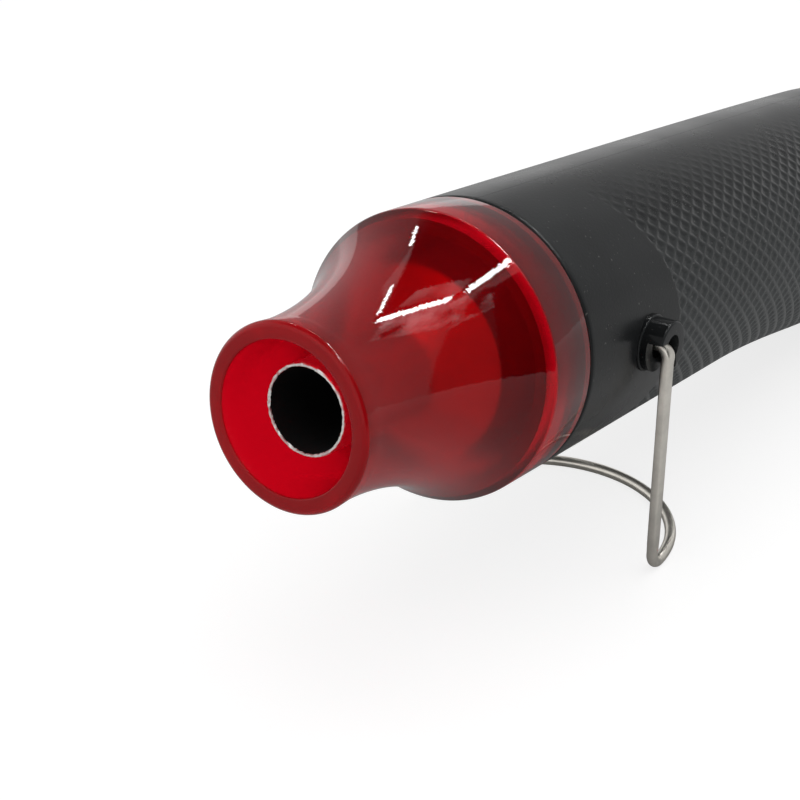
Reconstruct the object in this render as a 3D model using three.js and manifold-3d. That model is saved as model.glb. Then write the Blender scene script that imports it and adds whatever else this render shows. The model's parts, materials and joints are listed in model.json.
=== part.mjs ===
// A small hot air tool for craft work: red bell nozzle, black barrel with a bent handle, wire stand.
// Millimetres. The barrel's own frame has +X towards the nozzle, +Y to the tool's left and +Z up, with
// X = 0 at the seam between the red nozzle cover and the black casing. The whole tool is then tipped
// nose up, as it stands on its wire stand and on the heel of its handle, with the table at Z = 0.
import * as THREE from 'three';
import { mergeVertices } from 'three/addons/utils/BufferGeometryUtils.js';
import Module from 'manifold-3d';

const wasm = await Module();
wasm.setup();

// Driving sizes of the casing
const barrelRadius = 22.8;
const shellWall = 2.2;
const partingGap = 0.3;
const slip = 0.3;
const seamGroove = 0.5;
const handleRear = 178;
const topBendStart = 140;
const topDrop = 9;
const heelBendStart = 66;
const heelRoom = 18;
const heelDrop = 6.7;
const tailNarrowStart = 110;
const tailNarrowing = 3;

// Driving sizes of the red nozzle cover
const coverLength = 44.1;
const collarLength = 10.1;
const collarEdgeRadius = 1.2;
const coverWall = 2.1;
const throatRadius = 13.55;
const throatX = 40.4;
const lipRadius = 13.75;
const lipRounding = 0.9;
const shoulderSlope = 0.75;
const shoulderReach = 10.8;
const throatReach = 6;
const spigotLength = 6;

// Driving sizes of the steel outlet tube and the heater inside it
const outletRadius = 6.75;
const outletFront = 39.5;
const outletLength = 20.5;
const outletWall = 0.5;
const coneLength = 6.6;
const airJacket = 6.4;
const heaterTubeRear = 52;
const micaWall = 0.4;
const micaRoom = 2.4;
const formerPlate = 0.8;
const formerRoom = 6.4;
const coilWire = 0.9;
const coilTurns = 11;
const coilPitch = 4;
const ringThickness = 3;
const heaterDiscThickness = 2.5;
const heaterWindowRadius = 3.4;
const heaterWindowPitch = 7.6;
const fuseRadius = 1.6;
const fuseLength = 8;
const fuseRoom = 1.5;

// Driving sizes of the blower
const guideOverlap = 6;
const guideWall = 1.5;
const guideFlare = 8;
const fanLength = 10;
const fanHubRadius = 5;
const fanTipGap = 0.8;
const fanBlades = 7;
const fanBladeThickness = 1.1;
const fanBladeTwist = 38;
const ductRoom = 1.8;
const shaftRadius = 1;
const motorRadius = 12;
const motorLength = 27.5;
const motorWall = 1;
const motorGap = 4.5;
const armatureGap = 0.9;
const armatureLength = 14;
const magnetThickness = 2.2;
const endCapThickness = 3;
const mountThickness = 3;
const mountWindows = 6;
const mountWindowRadius = 2.6;

// Driving sizes of the power board
const boardLength = 22;
const boardWidth = 17;
const boardThickness = 1.6;
const boardDrop = 9;
const boardGap = 9;
const capacitorRadius = 3.5;
const capacitorHeight = 9;
const capacitorInset = 5.5;
const capacitorSide = 4.2;
const diodeRadius = 1.3;
const diodeLength = 4.6;
const diodePitch = 4.2;
const ledgeThickness = 1.4;
const leadRadius = 0.7;
const motorLeadSpread = 12;
const switchLeadSpread = 5.4;

// Driving sizes of the rocker switch
const switchRoom = 17.5;
const switchLength = 19.4;
const switchWidth = 12.8;
const switchDepth = 12;
const bezelRim = 1.4;
const bezelHeight = 1.8;
const rockerLength = 14.4;
const rockerWidth = 9.8;
const rockerWindowGap = 0.75;
const rockerTravel = 16;
const switchWall = 1.3;
const tabLength = 7;
const tabWidth = 4.8;
const tabThickness = 0.8;
const tabSpread = 5.6;
const switchPad = 4;
const switchPadDepth = 8;

// Driving sizes of the rear cap, its air slots and the cord inlet
const capDepth = 9;
const capWall = 2.2;
const capFaceShare = 0.7;
const capSpigot = 5;
const slotWidth = 1.8;
const slotPitch = 3.3;
const faceSlots = 2;
const sideSlots = 5;
const sideSlotHeight = 13;
const sideSlotPitch = 3.8;
const sideSlotRoom = 22;
const bushBore = 7.4;
const bushWall = 1.6;
const bushFlange = 1.5;
const bushFlangeThickness = 1.6;

// Driving sizes of the screws and their posts
const screwShankRadius = 1.3;
const screwHeadRadius = 2.6;
const screwHeadThickness = 1.9;
const screwReach = 9;
const screwHeadSeat = 7;
const postRadius = 3;
const postInset = 5.2;
const frontPosts = 34;
const topPosts = [112];
const heelPosts = [112];
const rearPostRoom = 12;

// Driving sizes of the wire stand and the bosses that it turns in
const pivotX = 19.9;
const pivotRise = 0.6;
const bossRadius = 4.4;
const bossFace = 26.6;
const bossStepRadius = 4.7;
const bossStep = 23.1;
const bossChamfer = 0.4;
const bossHoleRadius = 2.2;
const socketInnerEnd = 17.2;
const wireDiameter = 2;
const legWide = 2.5;
const legThin = 1.7;
const legSpan = 25.9;
const legLength = 44.8;
const legLean = 7.5;
const legSplay = 3;
const footDepth = 25.3;
const standPitch = 6;
const bendRadius = 2;
const footCorner = 3;
const slotClearance = 0.45;
const wireSides = 8;

// Numbers of steps round and along the curved forms
const roundSteps = 36;
const smallSteps = 17;
const bossSteps = 28;
const bodyStations = 11;
const coverSteps = 10;

const rad = THREE.MathUtils.degToRad;

// Colours read from the photograph, and the plain colours of the hidden pieces
const finish = {
  cover: { color: 0x9c1a20, roughness: 0.08, metalness: 0 },
  casing: { color: 0x3c4040, roughness: 0.5, metalness: 0 },
  steel: { color: 0xb9b6ad, roughness: 0.28, metalness: 1 },
  wire: { color: 0x928d7a, roughness: 0.35, metalness: 1 },
  mica: { color: 0xb08a56, roughness: 0.6, metalness: 0 },
  ceramic: { color: 0xd9d2c2, roughness: 0.7, metalness: 0 },
  heating: { color: 0x7d7468, roughness: 0.5, metalness: 1 },
  bakelite: { color: 0x2a1d18, roughness: 0.45, metalness: 0 },
  fan: { color: 0x1f2224, roughness: 0.4, metalness: 0 },
  motor: { color: 0xa9aaa8, roughness: 0.35, metalness: 1 },
  magnet: { color: 0x34343a, roughness: 0.7, metalness: 0 },
  copper: { color: 0xa8552c, roughness: 0.4, metalness: 1 },
  board: { color: 0x2f6b3c, roughness: 0.5, metalness: 0 },
  black: { color: 0x17181a, roughness: 0.35, metalness: 0 },
  brass: { color: 0xb08d3e, roughness: 0.3, metalness: 1 },
  rubber: { color: 0x1b1b1c, roughness: 0.8, metalness: 0 },
};

// Turns a closed geometry so that its faces point out, and keeps only its places
function closed(geometry) {
  const bare = geometry.index ? geometry.toNonIndexed() : geometry.clone();
  bare.deleteAttribute('normal');
  bare.deleteAttribute('uv');
  const merged = mergeVertices(bare, 1e-5);
  const place = merged.attributes.position;
  const index = Array.from(merged.index.array);
  const a = new THREE.Vector3();
  const b = new THREE.Vector3();
  const c = new THREE.Vector3();
  const kept = [];
  let volume = 0;
  for (let i = 0; i < index.length; i += 3) {
    const [p, q, r] = [index[i], index[i + 1], index[i + 2]];
    if (p === q || q === r || r === p) continue;
    kept.push(p, q, r);
    a.fromBufferAttribute(place, p);
    b.fromBufferAttribute(place, q);
    c.fromBufferAttribute(place, r);
    volume += a.dot(b.cross(c));
  }
  if (volume < 0) {
    for (let i = 0; i < kept.length; i += 3) {
      [kept[i + 1], kept[i + 2]] = [kept[i + 2], kept[i + 1]];
    }
  }
  merged.setIndex(kept);
  return merged;
}

function toSolid(geometry) {
  const ready = closed(geometry);
  return new wasm.Manifold(new wasm.Mesh({
    numProp: 3,
    vertProperties: new Float32Array(ready.attributes.position.array),
    triVerts: new Uint32Array(ready.index.array),
  }));
}

function toGeometry(solid) {
  const mesh = solid.getMesh();
  const geometry = new THREE.BufferGeometry();
  geometry.setAttribute('position', new THREE.BufferAttribute(new Float32Array(mesh.vertProperties), 3));
  geometry.setIndex(new THREE.BufferAttribute(new Uint32Array(mesh.triVerts), 1));
  return geometry;
}

const joined = (solids) => solids.reduce((whole, next) => whole.add(next));
const cutBy = (base, tools) => tools.reduce((whole, tool) => whole.subtract(tool), base);

// A ring or a solid turned about the X axis from a closed outline of [x, radius] pairs
function turned(outline, steps = roundSteps) {
  const points = outline.map(([x, r]) => new THREE.Vector2(Math.max(r, 0), x));
  if (outline[0][1] > 1e-6) points.push(points[0].clone());
  return closed(new THREE.LatheGeometry(points, steps).rotateZ(-Math.PI / 2));
}

const tube = (inner, outer, rear, front, steps) =>
  turned([[rear, inner], [rear, outer], [front, outer], [front, inner]], steps);
const rod = (radius, rear, front, steps = smallSteps) =>
  turned([[rear, 0], [rear, radius], [front, radius], [front, 0]], steps);
const block = (x, y, z) => new THREE.BoxGeometry(x, y, z);

// A cylinder along Y from one distance to another, at a place seen from the side
function crossRod(radius, from, to, x, z, steps = smallSteps) {
  return new THREE.CylinderGeometry(radius, radius, to - from, steps).translate(x, (from + to) / 2, z);
}

// A closed skin over rings of points, each ring with as many points as the last
function lofted(rings) {
  const count = rings[0].length;
  const places = rings.flat();
  const faces = [];
  for (let i = 0; i + 1 < rings.length; i += 1) {
    for (let j = 0; j < count; j += 1) {
      const k = (j + 1) % count;
      faces.push(i * count + j, i * count + k, (i + 1) * count + k);
      faces.push(i * count + j, (i + 1) * count + k, (i + 1) * count + j);
    }
  }
  const last = (rings.length - 1) * count;
  for (let j = 1; j + 1 < count; j += 1) {
    faces.push(0, j + 1, j);
    faces.push(last, last + j, last + j + 1);
  }
  const geometry = new THREE.BufferGeometry().setFromPoints(places);
  geometry.setIndex(faces);
  return closed(geometry);
}

const ease = (t) => {
  const s = Math.min(Math.max(t, 0), 1);
  return s * s * (3 - 2 * s);
};

const heelBendEnd = handleRear - heelRoom;
const switchX = handleRear - switchRoom;

// The casing's outline: the top stays straight longer than the underside, which swells into a heel
function topLine(back) {
  const t = Math.max(back - topBendStart, 0) / (handleRear - topBendStart);
  return barrelRadius - topDrop * t * t;
}
const heelLine = (back) =>
  -barrelRadius - heelDrop * ease((back - heelBendStart) / (heelBendEnd - heelBendStart));
const halfWidth = (back) =>
  barrelRadius - tailNarrowing * ease((back - tailNarrowStart) / (handleRear - tailNarrowStart));

// Radii that the barrel's bore gives to what stands in it
const shellBore = barrelRadius - shellWall;
const mountOuter = shellBore - slip;
const heaterTubeRadius = shellBore - airJacket;
const fanDuctRadius = mountOuter - guideWall - ductRoom;

// The front screws pass just outside the heater's tube, and the rest stand in from the casing's outline
const frontRise = heaterTubeRadius + slip + postRadius;
const screwStations = [
  { x: -frontPosts, rise: frontRise },
  { x: -frontPosts, rise: -frontRise },
  ...topPosts.map((back) => ({ x: -back, rise: topLine(back) - postInset })),
  ...[...heelPosts, handleRear - rearPostRoom]
    .map((back) => ({ x: -back, rise: heelLine(back) + postInset })),
];

// One section of the casing, drawn in by a wall and by a share of its own size
function section(back, inset = 0, share = 1, x = -back) {
  const middle = (topLine(back) + heelLine(back)) / 2;
  const height = (topLine(back) - heelLine(back)) / 2 - inset;
  const width = halfWidth(back) - inset;
  const ring = [];
  for (let i = 0; i < roundSteps; i += 1) {
    const angle = (2 * Math.PI * i) / roundSteps;
    const y = width * share * Math.cos(angle);
    const z = middle + height * share * Math.sin(angle);
    ring.push(new THREE.Vector3(x, y, z));
  }
  return ring;
}

function casingForm(inset, front, rear) {
  const rings = [section(front, inset)];
  for (let i = 0; i < bodyStations; i += 1) {
    const back = heelBendStart + ((rear - heelBendStart) * i) / (bodyStations - 1);
    rings.push(section(back, inset));
  }
  return lofted(rings);
}

// The tool stands on the foot of its stand and on its heel, so the table plane is known in its own frame
const pitch = rad(standPitch);
const lean = rad(legLean);
const pivotHeight = legLength * Math.cos(lean) + wireDiameter / 2;
const tableBelow = (x) =>
  pivotRise - (pivotHeight + (x + pivotX) * Math.sin(pitch)) / Math.cos(pitch);
function tableCutter() {
  const depth = 30;
  const length = 400;
  return toSolid(
    block(length, length, depth)
      .translate(0, 0, -depth / 2)
      .rotateY(pitch)
      .translate(0, 0, tableBelow(0)),
  );
}

const model = new THREE.Group();
const tool = new THREE.Group();
tool.rotation.y = -pitch;
model.add(tool);

function piece(parent, name, shape, look, place = [0, 0, 0], turn = [0, 0, 0]) {
  const geometry = shape instanceof wasm.Manifold ? toGeometry(shape) : shape;
  geometry.computeVertexNormals();
  const mesh = new THREE.Mesh(geometry, new THREE.MeshStandardMaterial(finish[look]));
  mesh.name = name;
  mesh.position.set(...place);
  mesh.rotation.set(...turn);
  parent.add(mesh);
  return mesh;
}

// Red nozzle cover: a straight collar, a steep shoulder, a long neck and a rounded lip
function coverCurve(inset) {
  const start = new THREE.Vector2(collarLength, barrelRadius - inset);
  const end = new THREE.Vector2(throatX, throatRadius - inset);
  const curve = new THREE.CubicBezierCurve(
    start,
    new THREE.Vector2(start.x + shoulderReach, start.y - shoulderSlope * shoulderReach),
    new THREE.Vector2(end.x - throatReach, end.y),
    end,
  );
  return curve.getPoints(coverSteps).map((p) => [p.x, p.y]);
}

function arc(cx, cr, radius, from, to, steps) {
  const points = [];
  for (let i = 0; i <= steps; i += 1) {
    const angle = rad(from + ((to - from) * i) / steps);
    points.push([cx + radius * Math.cos(angle), cr + radius * Math.sin(angle)]);
  }
  return points;
}

const spigotRadius = barrelRadius - shellWall - slip;
const spigotInner = spigotRadius - coverWall;
function nozzleCover() {
  const outer = coverCurve(0).slice(1);
  const inner = coverCurve(coverWall).reverse();
  const mouth = lipRadius - coverWall - lipRounding / 2;
  const turn = Math.atan(shoulderSlope);
  const edge = arc(
    collarLength - collarEdgeRadius * Math.tan(turn / 2), barrelRadius - collarEdgeRadius,
    collarEdgeRadius, 90, 90 - THREE.MathUtils.radToDeg(turn), 3,
  );
  const lip = arc(coverLength - lipRounding, lipRadius - lipRounding, lipRounding, 80, 0, 4);
  return turned([
    [-spigotLength, spigotInner],
    [-spigotLength, spigotRadius],
    [0, spigotRadius],
    [0, barrelRadius],
    ...edge,
    ...outer,
    ...lip,
    [coverLength, mouth + lipRounding / 3],
    [coverLength - lipRounding / 3, mouth],
    ...inner,
    [collarLength - coverWall / 2, spigotInner],
  ]);
}

const nozzle = new THREE.Group();
tool.add(nozzle);
piece(nozzle, 'nozzle_cover', nozzleCover(), 'cover');

// Steel outlet tube: a narrow mouth, a cone, and the wide tube that holds the heater
const coneFront = outletFront - outletLength;
const coneRear = coneFront - coneLength;
function outletTube() {
  const skin = (inset) => [
    [-heaterTubeRear, heaterTubeRadius - inset],
    [coneRear, heaterTubeRadius - inset],
    [coneFront, outletRadius - inset],
    [outletFront, outletRadius - inset],
  ];
  return turned([...skin(0), ...skin(outletWall).reverse()]);
}
piece(nozzle, 'outlet_tube', outletTube(), 'steel');

// Front ring: centres the outlet tube in the barrel and lets cooling air past
const ringFront = -spigotLength - slip;
function frontRing() {
  const inner = heaterTubeRadius + slip;
  const outer = mountOuter;
  const ring = toSolid(tube(inner, outer, ringFront - ringThickness, ringFront));
  const holes = [];
  const middle = (inner + outer) / 2;
  const holeRadius = (outer - inner) / 2 - 1.4;
  for (let i = 0; i < 8; i += 1) {
    const angle = rad(22.5 + 45 * i);
    holes.push(toSolid(rod(holeRadius, ringFront - ringThickness - 1, ringFront + 1, 10)
      .translate(0, middle * Math.cos(angle), middle * Math.sin(angle))));
  }
  return cutBy(ring, holes);
}
piece(nozzle, 'front_ring', frontRing(), 'ceramic');

// Heater: a mica sleeve, a crossed mica former, the winding on it and the disc that carries both
const heater = new THREE.Group();
tool.add(heater);
const sleeveOuter = heaterTubeRadius - outletWall - slip;
const discRear = -heaterTubeRear + guideOverlap / 2;
const discFront = discRear + heaterDiscThickness;
const formerFront = coneRear - formerRoom;
const heaterLength = coneRear - micaRoom - discFront - slip;
piece(heater, 'mica_sleeve', tube(sleeveOuter - micaWall, sleeveOuter, 0, heaterLength), 'mica',
  [discFront + slip, 0, 0]);

const coilSpan = coilTurns * coilPitch;
const coilRear = formerFront - coilSpan - coilPitch / 2;
const formerHalf = sleeveOuter - micaWall - coilWire - 2 * slip - 2.6;
function formerShape() {
  const plate = block(formerFront - discFront - slip, 2 * formerHalf, formerPlate);
  const across = block(formerFront - discFront - slip, formerPlate, 2 * formerHalf);
  return toSolid(plate).add(toSolid(across));
}
piece(heater, 'mica_former', formerShape(), 'mica', [(formerFront + discFront + slip) / 2, 0, 0]);

const coilRadius = formerHalf + slip + coilWire / 2 + 0.05;
function coilShape() {
  const stepsPerTurn = 16;
  const sides = 5;
  const rings = [];
  for (let i = 0; i <= coilTurns * stepsPerTurn; i += 1) {
    const angle = (2 * Math.PI * i) / stepsPerTurn;
    const out = new THREE.Vector3(0, Math.cos(angle), Math.sin(angle));
    const centre = out.clone().multiplyScalar(coilRadius).setX(coilRear + (coilPitch * i) / stepsPerTurn);
    const ring = [];
    for (let j = 0; j < sides; j += 1) {
      const a = (2 * Math.PI * j) / sides;
      ring.push(centre.clone()
        .addScaledVector(out, (coilWire / 2) * Math.cos(a))
        .add(new THREE.Vector3((coilWire / 2) * Math.sin(a), 0, 0)));
    }
    rings.push(ring);
  }
  return lofted(rings);
}
piece(heater, 'heater_coil', coilShape(), 'heating');

function heaterDisc() {
  const disc = toSolid(rod(sleeveOuter, 0, heaterDiscThickness, roundSteps));
  const windows = [0, 1, 2, 3].map((i) => {
    const angle = rad(45 + 90 * i);
    return toSolid(rod(heaterWindowRadius, -1, heaterDiscThickness + 1, 14)
      .translate(0, heaterWindowPitch * Math.cos(angle), heaterWindowPitch * Math.sin(angle)));
  });
  return cutBy(disc, windows);
}
piece(heater, 'heater_disc', heaterDisc(), 'ceramic', [discRear, 0, 0]);
piece(heater, 'thermal_fuse', rod(fuseRadius, 0, fuseLength, 12), 'steel',
  [discRear - slip - fuseLength, 0, sleeveOuter - fuseRoom - fuseRadius]);

// Blower: the air guide, the fan on its shaft and the motor that turns it
const blower = new THREE.Group();
tool.add(blower);
const guideFront = -heaterTubeRear + guideOverlap;
const guideNeck = heaterTubeRadius + slip;
const flareRear = -heaterTubeRear - guideFlare;
const fanFront = flareRear - 4;
const fanRear = fanFront - fanLength;
const motorFront = fanRear - motorGap;
const motorRear = motorFront - motorLength;
const guideRear = fanRear - 2;
function airGuide() {
  return turned([
    [guideFront, guideNeck],
    [guideFront, guideNeck + guideWall],
    [-heaterTubeRear, guideNeck + guideWall],
    [flareRear + 1, fanDuctRadius + guideWall],
    [flareRear + 1, mountOuter],
    [flareRear - 1, mountOuter],
    [flareRear - 1, fanDuctRadius + guideWall],
    [guideRear, fanDuctRadius + guideWall],
    [guideRear, fanDuctRadius],
    [flareRear, fanDuctRadius],
    [-heaterTubeRear - slip, guideNeck],
  ]);
}
piece(blower, 'air_guide', airGuide(), 'bakelite');

function fanShape() {
  const hub = toSolid(tube(shaftRadius + slip, fanHubRadius, 0, fanLength, 24));
  const reach = fanDuctRadius - fanTipGap - fanHubRadius + 1;
  const blades = [];
  for (let i = 0; i < fanBlades; i += 1) {
    blades.push(toSolid(block(fanLength - 1, reach, fanBladeThickness)
      .rotateY(rad(fanBladeTwist))
      .translate(fanLength / 2, fanHubRadius - 1 + reach / 2, 0)
      .rotateX((2 * Math.PI * i) / fanBlades)));
  }
  return joined([hub, ...blades]);
}
piece(blower, 'fan', fanShape(), 'fan', [fanRear, 0, 0]);

const armatureFront = motorFront - 6;
const magnetOuter = motorRadius - motorWall - slip;
const armatureRadius = magnetOuter - magnetThickness - armatureGap;
piece(blower, 'motor_shaft', rod(shaftRadius, motorRear + endCapThickness / 2, fanFront - 0.5, 12), 'steel');
piece(blower, 'motor_armature',
  tube(shaftRadius + slip, armatureRadius, 0, armatureLength, 24), 'copper',
  [armatureFront - armatureLength, 0, 0]);

function motorCan() {
  const inner = motorRadius - motorWall;
  const bore = shaftRadius + slip;
  return turned([
    [motorRear, inner],
    [motorRear, motorRadius],
    [motorFront, motorRadius],
    [motorFront, bore],
    [motorFront - 1.5, bore],
    [motorFront - 1.5, inner],
  ], 30);
}
piece(blower, 'motor_can', motorCan(), 'motor');
piece(blower, 'motor_magnet',
  tube(magnetOuter - magnetThickness, magnetOuter, 0, armatureLength, 30), 'magnet',
  [armatureFront - armatureLength, 0, 0]);
piece(blower, 'motor_end_cap', turned([
  [motorRear - endCapThickness, 0],
  [motorRear - endCapThickness, motorRadius - 2],
  [motorRear - slip, motorRadius],
  [motorRear - slip, magnetOuter],
  [motorRear + endCapThickness, magnetOuter],
  [motorRear + endCapThickness, shaftRadius + slip],
  [motorRear, shaftRadius + slip],
  [motorRear, 0],
], 30), 'bakelite');

function motorMount() {
  const rear = motorFront - 2 - mountThickness;
  const plate = toSolid(tube(motorRadius + slip, mountOuter, rear, rear + mountThickness));
  const middle = (motorRadius + mountOuter) / 2;
  const windows = [];
  for (let i = 0; i < mountWindows; i += 1) {
    const angle = rad(30 + (360 * i) / mountWindows);
    windows.push(toSolid(rod(mountWindowRadius, rear - 1, rear + mountThickness + 1, 12)
      .translate(0, middle * Math.cos(angle), middle * Math.sin(angle))));
  }
  return cutBy(plate, windows);
}
piece(blower, 'motor_mount', motorMount(), 'bakelite');

// Power board with its capacitor and the four diodes that feed the motor
const power = new THREE.Group();
const boardRear = motorRear - endCapThickness - boardGap - boardLength;
power.position.set(boardRear + boardLength / 2, 0, -boardDrop);
tool.add(power);
piece(power, 'power_board', block(boardLength, boardWidth, boardThickness), 'board');
const boardTop = boardThickness / 2 + slip;
piece(power, 'capacitor', rod(capacitorRadius, 0, capacitorHeight, 16).rotateY(-Math.PI / 2), 'black',
  [boardLength / 2 - capacitorRadius - capacitorInset, -capacitorSide, boardTop]);
for (let i = 0; i < 4; i += 1) {
  piece(power, `diode_${i + 1}`, rod(diodeRadius, -diodeLength / 2, diodeLength / 2, 10), 'black',
    [-boardLength / 4, (i - 1.5) * diodePitch, boardTop + diodeRadius]);
}

// Rocker switch, set square to the top of the handle
const rocker = new THREE.Group();
const switchSlope = Math.atan(
  (2 * topDrop * (switchX - topBendStart)) / (handleRear - topBendStart) ** 2,
);
const seatRise = 0.4;
rocker.position.set(-switchX, 0, topLine(switchX) + seatRise);
rocker.rotation.y = -switchSlope;
tool.add(rocker);
const inSwitchPlace = (geometry) =>
  geometry.rotateY(-switchSlope).translate(-switchX, 0, topLine(switchX) + seatRise);
const windowLength = rockerLength + 2 * rockerWindowGap;
const windowWidth = rockerWidth + 2 * rockerWindowGap;
function switchBody() {
  const bezel = block(switchLength + 2 * bezelRim, switchWidth + 2 * bezelRim, bezelHeight)
    .translate(0, 0, slip + bezelHeight / 2);
  const body = block(switchLength, switchWidth, switchDepth + slip + 0.5)
    .translate(0, 0, (slip + 0.5 - switchDepth) / 2);
  const well = block(windowLength, windowWidth, switchDepth - switchWall + slip + bezelHeight + 1)
    .translate(0, 0, (slip + bezelHeight + 1 - switchDepth + switchWall) / 2);
  return cutBy(joined([toSolid(bezel), toSolid(body)]), [toSolid(well)]);
}
piece(rocker, 'switch_body', switchBody(), 'black');

const rockerPivotZ = -1.2;
function rockerShape() {
  const half = rockerLength / 2;
  const high = slip + bezelHeight - rockerPivotZ + 0.7;
  const outline = new THREE.Shape([
    new THREE.Vector2(-half + 0.8, -3.2),
    new THREE.Vector2(half - 0.8, -3.2),
    new THREE.Vector2(half, high - 0.3),
    new THREE.Vector2(half - 0.9, high),
    new THREE.Vector2(0, high - 0.9),
    new THREE.Vector2(-half + 0.9, high),
    new THREE.Vector2(-half, high - 0.3),
  ]);
  const body = new THREE.ExtrudeGeometry(outline, { depth: rockerWidth, bevelEnabled: false });
  return closed(body.rotateX(Math.PI / 2).translate(0, rockerWidth / 2, 0));
}
const rockerTilt = rad(rockerTravel / 2);
piece(rocker, 'switch_rocker', rockerShape(), 'black', [0, 0, rockerPivotZ], [0, -rockerTilt, 0]);
for (let i = 0; i < 2; i += 1) {
  piece(rocker, `switch_tab_${i + 1}`, block(tabThickness, tabWidth, tabLength), 'brass',
    [(i - 0.5) * tabSpread, 0, -switchDepth - slip - tabLength / 2]);
}

// Leads: two from the motor's end cap and two from the switch's tabs, all down to the board
const leadFoot = -boardDrop + boardTop;
function lead(points) {
  const outline = new THREE.Shape().absarc(0, 0, leadRadius, 0, 2 * Math.PI, false);
  const path = new THREE.CatmullRomCurve3(points.map((p) => new THREE.Vector3(...p)));
  return closed(new THREE.ExtrudeGeometry(outline, { steps: 9, extrudePath: path, curveSegments: 4 }));
}
rocker.updateMatrix();
[1, -1].forEach((side, i) => {
  const out = (side * motorLeadSpread) / 2;
  const capRear = motorRear - endCapThickness - slip;
  const front = boardRear + boardLength;
  piece(power, `motor_lead_${i + 1}`, lead([
    [capRear, out / 2, 0],
    [capRear - 2, out / 2, 0],
    [front - 0.5, out, leadFoot + 4.5],
    [front - 2, out, leadFoot + 2],
    [front - 2, out, leadFoot],
  ]).translate(-power.position.x, 0, boardDrop), 'copper');
  const tabEnd = new THREE.Vector3(side * tabSpread / 2, 0, -switchDepth - 2 * slip - tabLength)
    .applyMatrix4(rocker.matrix);
  const along = boardRear + 1.6;
  piece(power, `switch_lead_${i + 1}`, lead([
    [tabEnd.x, 0, tabEnd.z],
    [tabEnd.x, side * 0.5, tabEnd.z - 1.5],
    [(tabEnd.x + along) / 2 - 1, (side * switchLeadSpread) / 2, tabEnd.z - 3.5],
    [along, (side * switchLeadSpread) / 2, leadFoot + 2.5],
    [along, (side * switchLeadSpread) / 2, leadFoot],
  ]).translate(-power.position.x, 0, boardDrop), 'copper');
});

// Casing shells, with posts for the screws, ledges for the board and bosses for the stand
function boss(side) {
  const parts = [
    toSolid(crossRod(bossRadius, socketInnerEnd, bossFace - bossChamfer, -pivotX, pivotRise, bossSteps)),
    toSolid(crossRod(bossStepRadius, barrelRadius - shellWall / 2, bossStep, -pivotX, pivotRise, bossSteps)),
    toSolid(new THREE.CylinderGeometry(bossRadius - bossChamfer, bossRadius, bossChamfer, bossSteps)
      .translate(-pivotX, bossFace - bossChamfer / 2, pivotRise)),
  ];
  const whole = joined(parts);
  return side > 0 ? whole : whole.mirror([0, 1, 0]);
}

// The slot in a boss runs from where the leg points when it stands to where it points when folded
const standAngle = -90 - standPitch - legLean;
function bossCuts(side) {
  const half = legThin / 2 + slotClearance;
  const reach = bossRadius + bossStepRadius;
  const floor = legSpan - legWide / 2 - slotClearance;
  const depth = bossFace + 1 - floor;
  const arm = (angle) => block(reach, depth, 2 * half)
    .translate(reach / 2, 0, 0)
    .rotateY(-rad(angle))
    .translate(-pivotX, floor + depth / 2, pivotRise);
  const sweep = new THREE.Shape();
  sweep.moveTo(0, 0);
  sweep.absarc(0, 0, reach, rad(standAngle), 0, false);
  sweep.lineTo(0, 0);
  const wedge = new THREE.ExtrudeGeometry(sweep, { depth, bevelEnabled: false, curveSegments: 12 })
    .rotateX(Math.PI / 2)
    .translate(-pivotX, floor + depth, pivotRise);
  const cuts = joined([
    toSolid(arm(standAngle)),
    toSolid(arm(0)),
    toSolid(wedge),
    toSolid(crossRod(bossHoleRadius, barrelRadius, bossFace + 1, -pivotX, pivotRise, 24)),
    toSolid(crossRod(wireDiameter / 2 + slip, socketInnerEnd - 1, bossFace, -pivotX, pivotRise, 16)),
  ]);
  return side > 0 ? cuts : cuts.mirror([0, 1, 0]);
}

function shells() {
  const outer = toSolid(casingForm(0, seamGroove, handleRear));
  const inner = toSolid(casingForm(shellWall, -1, handleRear + 1));
  const bound = toSolid(casingForm(shellWall / 2, seamGroove, handleRear));
  const posts = joined(screwStations.map(({ x, rise }) =>
    toSolid(crossRod(postRadius, -barrelRadius, barrelRadius, x, rise))));
  const ledgeTop = -boardDrop - boardThickness / 2 - slip;
  const ledges = [1, -1].map((side) => toSolid(
    block(boardLength - 2, barrelRadius, ledgeThickness)
      .translate(boardRear + boardLength / 2, side * (boardWidth / 2 - 1.5 + barrelRadius / 2),
        ledgeTop - ledgeThickness / 2),
  ));
  const pad = toSolid(inSwitchPlace(
    block(switchLength + switchPad, switchWidth + switchPad, switchPadDepth)
      .translate(0, 0, -switchPadDepth / 2),
  ));
  const extras = joined([posts, ...ledges]).intersect(bound);
  let whole = joined([cutBy(outer.add(pad), [inner]), extras]);
  whole = cutBy(whole, [
    toSolid(inSwitchPlace(block(switchLength + 2 * slip, switchWidth + 2 * slip, 30))),
    tableCutter(),
  ]);
  const vents = [];
  for (let i = 0; i < sideSlots; i += 1) {
    const back = handleRear - sideSlotRoom + i * sideSlotPitch;
    const middle = (topLine(back) + heelLine(back)) / 2;
    vents.push(toSolid(block(slotWidth, 4 * barrelRadius, sideSlotHeight).translate(-back, 0, middle)));
  }
  whole = cutBy(whole, vents);
  const rooms = screwStations.map(({ x, rise }) => joined([
    toSolid(crossRod(screwShankRadius + slip, -screwHeadSeat - 1, screwReach + slip, x, rise, 14)),
    toSolid(crossRod(screwHeadRadius + slip, -2 * barrelRadius, -screwHeadSeat, x, rise, 18)),
  ]));
  whole = cutBy(whole, rooms);
  const far = 4 * handleRear;
  return [1, -1].map((side) => {
    const half = toSolid(block(far, far, far).translate(0, side * (far / 2 + partingGap / 2), 0));
    const shell = whole.intersect(half).add(boss(side).subtract(toSolid(
      block(2 * bossStepRadius, partingGap, 2 * bossStepRadius),
    )));
    return shell.subtract(bossCuts(side));
  });
}
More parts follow.
